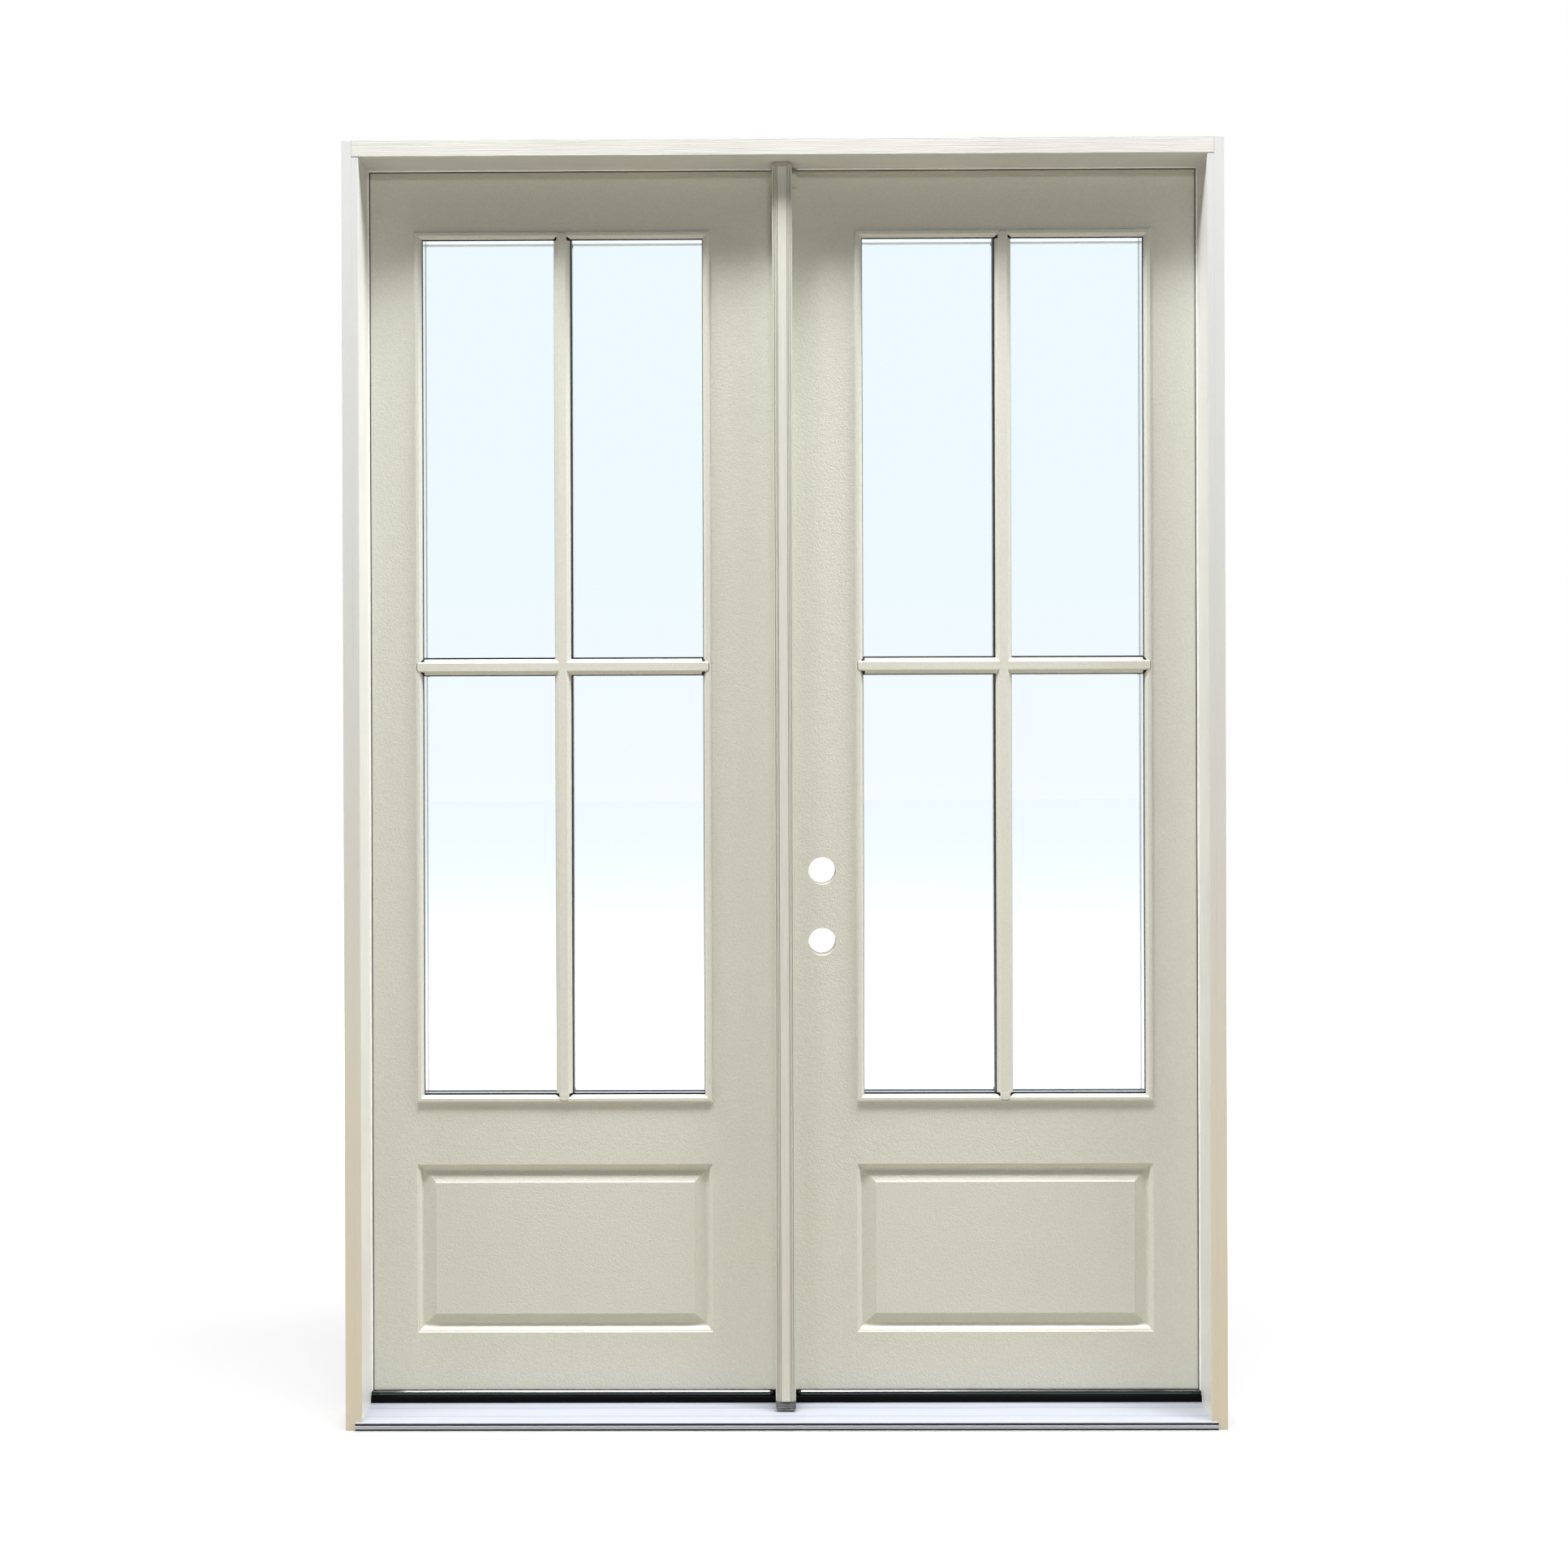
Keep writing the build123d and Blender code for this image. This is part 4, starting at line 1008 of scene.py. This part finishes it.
class DOOR_OT_add_glazing_trim(DoorOperator, bpy.types.Operator):
    """Add the dark tape round every pane, widened as painted shade at the bottoms, the tongues
    at the ends of the bars, and painted shadows round them
    """

    bl_idname = "door.add_glazing_trim"
    bl_label = "Add the glazing trim"

    def execute(self, context):
        colour = context.scene.door_paint.glazing_colour
        tape = black_rubber("glazing_tape", (0.006, 0.006, 0.007), gloss=0.45, ripple=0.05)
        plastic = moulded_skin("tongue_plastic", colour, TONGUE_STIPPLE, TONGUE_EDGE)
        for leaf in LEAVES:
            for face, outward in (("outer", -1), ("inner", 1)):
                name = f"{leaf}_{face}"
                rings = self.tape_rings(name, outward)
                piece(f"{name}_glazing_tape", rings, tape, BODY_OF[leaf])
                for part, margin, material, slot in (
                    ("bar_ends", 0.0, plastic, "moulded_plastic"),
                    # Dark copies of the tongues, a little larger, are painted shadows round the
                    # bar ends
                    ("bar_end_gaps", SHADOW_MARGIN, tape, "black_rubber"),
                ):
                    tongues = self.tongues(name, outward, margin)
                    piece(f"{name}_{part}", tongues, material, BODY_OF[leaf])
        return {"FINISHED"}

    def tape_rings(self, name, outward):
        """A ring of tape for each of the four lights that the bars divide a pane into."""
        low, high = edges(f"{name}_glazing_frame")
        glass = edges(f"{name}_pane")[max(outward, 0)][1]
        middle = (low + high) / 2
        spans = [
            ((low[axis] + MOULDING_WIDTH, middle[axis] - BAR_HALF),
             (middle[axis] + BAR_HALF, high[axis] - MOULDING_WIDTH))
            for axis in (0, 2)
        ]
        return [self.tape_ring(x, z, glass, outward) for x in spans[0] for z in spans[1]]

    def tape_ring(self, x_span, z_span, glass, outward):
        """A flat strip round a light: four mitred corners, each a square section. Along the
        bottom it reaches further onto the glass, as painted shade.
        """
        section = rectangle(-TAPE_HIDDEN, TAPE_SEEN, TAPE_LIFT, TAPE_THICKNESS)
        corners = rectangle(0, 1, 0, 1)
        x = np.array(x_span)[corners[:, 0]][:, None]
        z = np.array(z_span)[corners[:, 1]][:, None]
        inward = 1 - 2 * corners
        foot = np.where((corners[:, 1:] == 0) & (section[:, 0] > 0), TAPE_SHADE_FOOT, section[:, 0])
        points = np.stack(
            [
                x + inward[:, :1] * section[:, 0], glass + outward * section[None, :, 1] + 0 * x,
                z + inward[:, 1:] * foot,
            ],
            axis=-1,
        )
        return points.reshape(-1, 3), grid_faces(4, 4, wrap_rows=True, wrap_columns=True)

    def tongues(self, name, outward, margin):
        """A tongue at each of the four ends of a grille's bars."""
        frame_low, frame_high = edges(f"{name}_glazing_frame")
        low, high = edges(f"{name}_grille")
        crown = (low, high)[max(outward, 0)][1]
        x, z = ((frame_low + frame_high) / 2)[[0, 2]]
        ends = (
            ((x, crown, low[2]), (0, 0, -1)), ((x, crown, high[2]), (0, 0, 1)),
            ((low[0], crown, z), (-1, 0, 0)), ((high[0], crown, z), (1, 0, 0)),
        )
        return [self.tongue(np.array(end), way, outward, margin) for end, way in ends]

    def tongue(self, end, direction, outward, margin):
        """The end of a bar: its bevelled section, whose width narrows to the end.

        The section at t in 0 to 1 is narrowed to 1 - TONGUE_NARROW (1 - sqrt(1 - t^2)).
        With a margin it is a painted shadow round such an end: wider and longer, and lower.
        """
        crown = TONGUE_LIFT - margin
        section = np.array(
            [(-BAR_HALF, -BAR_RISE), (-BAR_FLAT_HALF, crown), (BAR_FLAT_HALF, crown),
             (BAR_HALF, -BAR_RISE), (BAR_HALF, -BAR_ROOT), (-BAR_HALF, -BAR_ROOT)]
        )
        section[:, 0] += np.sign(section[:, 0]) * margin
        t = np.append(np.linspace(0.0, 1.0, TONGUE_STEPS), 1.0)
        narrow = 1.0 - TONGUE_NARROW * (1.0 - np.sqrt(1.0 - t**2))
        profiles = section[None] * np.stack([narrow, np.ones_like(t)], axis=-1)[:, None, :]
        along = np.array(direction, float)
        length = TONGUE_LENGTH + TONGUE_REACH + margin
        path = end - along * TONGUE_LENGTH + along * (t * length)[:, None]
        across = np.cross(along, (0.0, 1.0, 0.0))
        return carried(profiles, path, across, (0.0, outward, 0.0))


# A strip's reach out of the stop, and how far its bulb is tucked into the stop
STRIP_REACH, STRIP_TUCK, STRIP_SWELL = 0.0155, 0.0002, 0.00015
STRIP_WAVE, STRIP_NOSE_STEPS, STRIP_STEPS, HEAD_STRIP_STEPS = 3.0, 11, 90, 60
STRIP_BARB, STRIP_ASTRAGAL_ROOM = (0.0006, 0.0024), 0.001
# A thin dark strip beside each bulb is painted shade
SHADE_LINE_HIDDEN, SHADE_LINE_SEEN, SHADE_LINE_THICKNESS = 0.002, 0.0017, 0.0004
SWEEP_INNER, SWEEP_OUTER_ROOM, SWEEP_SHARP = 0.0232, 0.0025, radians(8)
SWEEP_STEPS, SWEEP_ENDS = 70, np.array((0.0, 0.0006, 0.0018, 0.004, 0.0065, 0.009))
SWEEP_END_SIZE, SWEEP_SWAY = 0.3, 0.0002
SWAY_SLOW, SWAY_START, SWAY_QUICK = 7.0, 2.0, 23.0
BULB_RADIUS, BULB_WALL = 0.0069, 0.0012
# Angles round the bulb in degrees: it starts under the leaf, is flat in front and ends low
BULB_TOP, BULB_FLAT, BULB_FOOT = 92, (118.0, 141.0), 196
BULB_STEPS_ABOVE, BULB_STEPS_BELOW = 10, 18
SWEEP_PLATE, FIN_HALF, FIN_SHARES = 0.0022, 0.0006, (0.25, 0.5, 0.75)
ALONG_DEPTH, UPRIGHT = (0.0, 1.0, 0.0), (0.0, 0.0, 1.0)


class DOOR_OT_add_seal_profiles(DoorOperator, bpy.types.Operator):
    """Add the rounded weatherstrips and the bulbed sweeps in place of the plain ones"""

    bl_idname = "door.add_seal_profiles"
    bl_label = "Add the seal profiles"

    def execute(self, context):
        rubber = black_rubber(
            "sweep_gloss", (0.002, 0.002, 0.002), gloss=0.1, ripple=0.03, shine=0.45,
            soft_edge=0.0001,
        )
        foam = soft_foam(
            "bulb_foam", srgb(252, 252, 250), STRIP_CELLS, roughness=0.14, shine=1.0
        )
        # Painted shade beside the bulbs
        dark = soft_foam("lip_foam", srgb(74, 70, 60), STRIP_CELLS)
        for leaf in LEAVES:
            made = piece(
                f"{leaf}_sweep_profile", self.sweep(leaf), rubber, BODY_OF[leaf],
                SWEEP_SHARP,
            )
            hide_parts(f"{leaf}_bottom_sweep")
            side = side_of(leaf)
            low, high = edges(f"{leaf}_weatherstrip")
            root = high[0] if side > 0 else low[0]
            path = np.linspace((root, 0.0, low[2]), (root, 0.0, high[2]), STRIP_STEPS)
            self.hang_strip(f"{leaf}_weatherstrip", [path], (-side, 0, 0), foam, dark)
        low, high = edges("head_weatherstrip")
        gap_low = edges("astragal")[0][0] - STRIP_ASTRAGAL_ROOM
        gap_high = edges("astragal_pads")[1][0]
        paths = [
            np.linspace((start, 0.0, high[2]), (end, 0.0, high[2]), HEAD_STRIP_STEPS)
            for start, end in ((low[0], gap_low), (gap_high, high[0]))
        ]
        self.hang_strip("head_weatherstrip", paths, (0, 0, -1), foam, dark)
        return {"FINISHED"}

    def hang_strip(self, node, paths, inward, foam, dark):
        """The bulb of a weatherstrip and a dark strip of painted shade beside it, along one path
        or more.
        """
        bulbs = [shape for path in paths for shape in self.strip(node, path, inward)]
        shade_lines = [self.shade_line(node, path, inward) for path in paths]
        made = piece(f"{node}_bulb", bulbs, foam, "frame")
        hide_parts(node)
        piece(f"{node}_lip", shade_lines, dark, "frame")

    def strip(self, node, path, inward):
        """A bulb with a round edge and the barb in the kerf, as wide as the node is.

        The bulb's edge swells by 0.15 mm times a slow sine along the path.
        """
        low, high = edges(node)
        front, back = edges("head_stop")[1][1], high[1]
        radius, middle = (back - front) / 2, (back + front) / 2
        nose = arc((STRIP_REACH - radius, middle), radius, -90, 90, STRIP_NOSE_STEPS)
        bulb = np.concatenate([[(STRIP_TUCK, front)], nose, [(STRIP_TUCK, back)]])
        count = len(path)
        swell = STRIP_SWELL * np.sin(np.linspace(0, count / STRIP_WAVE, count))
        profiles = np.broadcast_to(bulb, (count, *bulb.shape)).copy()
        profiles[:, 1:-1, 0] += swell[:, None] - STRIP_SWELL
        barb = rectangle(*STRIP_BARB, low[1], front)
        return [carried(section, path, inward, ALONG_DEPTH) for section in (profiles, barb)]

    def shade_line(self, node, path, inward):
        """A thin dark strip flat against the leaf beside the bulb: painted shade where bulb and
        leaf meet.
        """
        back = edges(node)[1][1]
        section = rectangle(
            STRIP_REACH - SHADE_LINE_HIDDEN, STRIP_REACH + SHADE_LINE_SEEN, back - SHADE_LINE_THICKNESS, back
        )
        return carried(section, path, inward, ALONG_DEPTH)

    def sweep(self, leaf):
        """A bulb in front, a plate under the leaf and three fins on the cap.

        The bulb is a crescent between two arcs; within 9 mm of its ends it shrinks as
        sqrt(1 - u^2), and along the leaf it sways by a fifth of a millimetre.
        """
        low, high = edges(f"{leaf}_bottom_sweep")
        front, back = edges(f"{leaf}_outer_skin")[0][1], high[1]
        side = side_of(leaf)
        outer_end = side * (max(abs(low[0]), abs(high[0])) - SWEEP_OUTER_ROOM)
        start, end = sorted((side * SWEEP_INNER, outer_end))
        x = np.concatenate(
            [
                start + SWEEP_ENDS, np.linspace(start, end, SWEEP_STEPS)[2:-2],
                end - SWEEP_ENDS[::-1],
            ]
        )
        near_end = np.clip(np.minimum(x - start, end - x) / SWEEP_ENDS[-1], 0, 1)
        size = np.sqrt(1 - (1 - near_end) ** 2) * (1 - SWEEP_END_SIZE) + SWEEP_END_SIZE
        crescent = np.concatenate(
            [
                arc((0, 0), BULB_RADIUS, BULB_TOP, BULB_FLAT[0], BULB_STEPS_ABOVE),
                arc((0, 0), BULB_RADIUS, BULB_FLAT[1], BULB_FOOT, BULB_STEPS_BELOW),
                arc((0, 0), BULB_RADIUS - BULB_WALL, BULB_FOOT, BULB_TOP,
                    BULB_STEPS_ABOVE + BULB_STEPS_BELOW),
            ]
        )
        profiles = crescent[None] * size[:, None, None]
        sway = np.sin(SWAY_SLOW * x + SWAY_START) * np.sin(SWAY_QUICK * x)
        profiles[..., 0] += (SWEEP_SWAY * sway)[:, None]
        path = np.stack(np.broadcast_arrays(x, front, high[2] - BULB_RADIUS), axis=-1)
        under = high[2] - SWEEP_PLATE
        sections = [rectangle(front, back, under, high[2])]
        for share in FIN_SHARES:
            middle = front + (back - front) * share
            sections.append(rectangle(middle - FIN_HALF, middle + FIN_HALF, low[2], under))
        line = ((low[0], 0, 0), (high[0], 0, 0))
        return [carried(profiles, path, ALONG_DEPTH, UPRIGHT)] + [
            carried(section, line, ALONG_DEPTH, UPRIGHT) for section in sections
        ]


# Beads by their distance from the astragal's middle and from its front
BEAD_PLACES = ((0.0101, 0.0013), (0.0135, 0.0013), (0.0168, 0.0019))
BEAD_RADIUS, BEAD_END, BEAD_TOP, BEAD_SIDES, BEAD_ROUGHNESS = 0.0010, 0.0003, 0.0203, 24, 0.34
SEAM_HALF, SEAM_LIFT, SEAM_TOP_ROOM, SEAM_CELLS = 0.0007, 0.00005, 0.0005, 600.0


class DOOR_OT_add_fine_lines(DoorOperator, bpy.types.Operator):
    """Add the beads of the astragal and the hairlines where head and jambs meet"""

    bl_idname = "door.add_fine_lines"
    bl_label = "Add the fine lines"

    def execute(self, context):
        primer = painted_wood(
            "bead_primer", context.scene.door_paint.leaf_colour, BEAD_GRAIN, BEAD_ROUGHNESS,
            BEAD_EDGE,
        )
        piece("astragal_beads", self.beads(), primer, "left_leaf")
        shade = soft_foam("joint_shadow", srgb(96, 94, 86), SEAM_CELLS)
        piece("corner_joints", self.joints(), shade, "frame")
        return {"FINISHED"}

    def beads(self):
        """Three thin rods at each edge of the astragal's front, from end to end."""
        low, high = edges("astragal")
        circle = arc((0.0, 0.0), BEAD_RADIUS, 0, 360 - 360 / BEAD_SIDES, BEAD_SIDES)
        rods = []
        for side in (-1, 1):
            for x, y in BEAD_PLACES:
                foot = (side * x, low[1] + y, low[2] + BEAD_END)
                top = (side * x, low[1] + y, high[2] - BEAD_TOP)
                rods.append(carried(circle, (foot, top), (1.0, 0.0, 0.0), ALONG_DEPTH))
        return rods

    def joints(self):
        """At each end of the head a level line under it and a short upright one beside it."""
        head_low, head_high = edges("head_jamb")
        foot = edges("head_stop")[0][2]
        path = ((0.0, head_low[1] + SEAM_LIFT, 0.0), (0.0, head_low[1] - SEAM_LIFT, 0.0))
        lines = []
        for side, inner in ((-1, edges("left_stop")[1][0]), (1, edges("right_stop")[0][0])):
            outer = side * head_high[0]
            left, right = sorted((inner, outer))
            upright_half = SEAM_HALF / 4
            lines.append(rectangle(left, right, foot - SEAM_HALF, foot + SEAM_HALF))
            lines.append(
                rectangle(
                    outer - upright_half, outer + upright_half, foot,
                    head_high[2] - SEAM_TOP_ROOM,
                )
            )
        return [carried(corners, path, (1.0, 0.0, 0.0), UPRIGHT) for corners in lines]


# Stage


FLOOR_REACH, FLOOR_CELLS = 30.0, 30.0
FLOOR_BOUNCE, FLOOR_DIRECT = (0.34, 0.30, 0.235), (0.30, 0.30, 0.30)
FLOOR_PALE = ((0.80, 0.80, 0.80), (0.82, 0.82, 0.82))
FLOOR_GLOW, FLOOR_FADE = 0.45, (1.2, 4.0)
WHITE, FLOOR_TINT, SKY_TINT = (1.0, 1.0, 1.0), (0.93, 0.975, 0.99), (0.90, 0.97, 1.0)
SKY_RISE = (-0.15, 0.2)
LAMP_AIM = (0.0, 0.0, 1.35)
LAMPS = {
    "overhead": ((0.3, -1.53, 7.7), (8.0, 0.6)),
    "side_right": ((4.2, -1.0, 5.6), (1.0, 0.8)),
    "side_left": ((-4.2, -1.0, 5.6), (1.0, 0.8)),
    "front": ((0.9, -4.3, 3.5), (1.2, 0.3)),
    "back": ((-0.4, 3.4, 5.0), (4.0, 2.0)),
}
SENSOR_WIDTH, LENS_SHIFT = 36.0, (0.015942, -0.026449)


class DOOR_OT_set_stage(DoorOperator, bpy.types.Operator):
    """Set the floor, the lamps, the white surround and the camera"""

    bl_idname = "door.set_stage"
    bl_label = "Set the stage"

    def execute(self, context):
        scene, settings = context.scene, context.scene.door_stage
        self.lay_floor(scene)
        for name, (place, size) in LAMPS.items():
            self.hang_lamp(scene, name, place, size, getattr(settings, name))
        self.paint_surround(scene, settings.surround)
        self.place_camera(scene, settings)
        scene.view_settings.view_transform = "Standard"
        return {"FINISHED"}

    def lay_floor(self, scene):
        """A wide plain floor under the sill.

        To the camera it glows, so that it is white where the lamps reach it too, and darker
        where the door shades it. To the lamps' bounced light it is a dull warm floor.
        """
        corners = rectangle(-FLOOR_REACH, FLOOR_REACH, -FLOOR_REACH, FLOOR_REACH)
        mesh = bpy.data.meshes.new("floor")
        mesh.from_pydata([(*corner, 0.0) for corner in corners.tolist()], [], [(0, 1, 2, 3)])
        floor = bpy.data.objects.new("floor", mesh)
        scene.collection.objects.link(floor)
        finish = Finish("floor_white")
        direct, through, seen = self.seen_rays(finish)
        pale = finish.mix(finish.between(finish.noise(FLOOR_CELLS), *SOFT), *FLOOR_PALE)
        pale = finish.mix(direct + through, pale, FLOOR_DIRECT)
        diffuse = finish.node(
            "ShaderNodeBsdfDiffuse", None, {"Color": finish.mix(seen, FLOOR_BOUNCE, pale)}
        )
        from_door = finish.node(
            "ShaderNodeVectorMath", {"operation": "LENGTH"}, {0: finish.place}, output="Value"
        )
        away = finish.between(from_door, *FLOOR_FADE)
        glow = finish.node(
            "ShaderNodeEmission", None,
            {
                "Color": finish.mix(through * away, WHITE, FLOOR_TINT),
                "Strength": seen * (FLOOR_GLOW + (1.0 - FLOOR_GLOW) * away),
            },
        )
        lit = finish.node("ShaderNodeAddShader", None, {0: diffuse, 1: glow})
        finish.node("ShaderNodeOutputMaterial", None, {"Surface": lit})
        mesh.materials.append(finish.owner)

    def seen_rays(self, finish):
        """Three fields: 1 for camera rays, 1 for rays through glass, and 1 for both of them
        and for rays off metal."""
        direct, glossy, through = (
            finish.node("ShaderNodeLightPath", output=f"Is {kind} Ray")
            for kind in ("Camera", "Glossy", "Transmission")
        )
        seen = finish.math("MAXIMUM", finish.math("MAXIMUM", direct, glossy), through)
        return direct, through, seen

    def hang_lamp(self, scene, name, place, size, power):
        """An area lamp, turned to the middle of the doorway."""
        lamp = bpy.data.lights.new(name, "AREA")
        lamp.shape = "RECTANGLE"
        lamp.size, lamp.size_y = size
        lamp.energy = power
        holder = bpy.data.objects.new(name, lamp)
        holder.location = place
        holder.visible_glossy = name == "overhead"
        holder.visible_transmission = False
        way = Vector(LAMP_AIM) - Vector(place)
        holder.rotation_euler = way.to_track_quat("-Z", "Y").to_euler()
        scene.collection.objects.link(holder)

    def paint_surround(self, scene, strength):
        """White to the camera, glass and metal, and an even dim light to the rest."""
        scene.world = bpy.data.worlds.new("surround")
        finish = Finish("surround", scene.world)
        direct, _, seen = self.seen_rays(finish)
        direction = finish.node("ShaderNodeTexCoord", output="Generated")
        height = finish.node("ShaderNodeSeparateXYZ", None, {"Vector": direction}, output="Z")
        sky = finish.mix(finish.between(height, *SKY_RISE), WHITE, SKY_TINT)
        background = finish.node(
            "ShaderNodeBackground", None,
            {
                "Color": finish.mix(direct, sky, WHITE),
                "Strength": seen * (1.0 - strength) + strength,
            },
        )
        finish.node("ShaderNodeOutputWorld", None, {"Surface": background})

    def place_camera(self, scene, settings):
        """The camera stands where the picture was taken from."""
        data = bpy.data.cameras.new("camera")
        data.lens = settings.lens
        data.sensor_width = SENSOR_WIDTH
        data.shift_x, data.shift_y = LENS_SHIFT
        camera = bpy.data.objects.new("camera", data)
        camera.location = settings.camera_place
        camera.rotation_euler = Euler(settings.camera_turn)
        scene.collection.objects.link(camera)
        scene.camera = camera


class DOOR_PT_panel(bpy.types.Panel):
    """Lists the settings and the steps in the sidebar of the 3D view"""

    bl_label = "Entry door"
    bl_space_type = "VIEW_3D"
    bl_region_type = "UI"
    bl_category = "Entry Door"

    def draw(self, context):
        layout = self.layout
        for group in (context.scene.door_paint, context.scene.door_fittings,
                      context.scene.door_stage):
            box = layout.box()
            for key in group.__annotations__:
                box.prop(group, key)
        for step in STEPS:
            layout.operator(step.bl_idname)


STEPS = (
    DOOR_OT_paint_frame, DOOR_OT_finish_leaves, DOOR_OT_finish_glazing, DOOR_OT_finish_sill,
    DOOR_OT_finish_seals, DOOR_OT_finish_hardware, DOOR_OT_add_hinge_screws,
    DOOR_OT_add_pin_tips, DOOR_OT_add_flat_screws, DOOR_OT_add_plugs,
    DOOR_OT_add_glazing_trim, DOOR_OT_add_seal_profiles, DOOR_OT_add_fine_lines,
    DOOR_OT_set_stage,
)
SETTINGS = {
    "door_paint": PaintSettings, "door_fittings": FittingSettings, "door_stage": StageSettings,
}


def register():
    """Register the classes and hang the settings on the scene."""
    for entry in (*SETTINGS.values(), *STEPS, DOOR_PT_panel):
        bpy.utils.register_class(entry)
    for key, group in SETTINGS.items():
        setattr(bpy.types.Scene, key, PointerProperty(type=group))


def unregister():
    """Take the settings and the classes away again."""
    for key in SETTINGS:
        delattr(bpy.types.Scene, key)
    for entry in (DOOR_PT_panel, *reversed(STEPS), *SETTINGS.values()):
        bpy.utils.unregister_class(entry)


def main():
    """Run every step in order."""
    register()
    for step in STEPS:
        family, name = step.bl_idname.split(".")
        getattr(getattr(bpy.ops, family), name)()


if __name__ == "__main__":
    main()
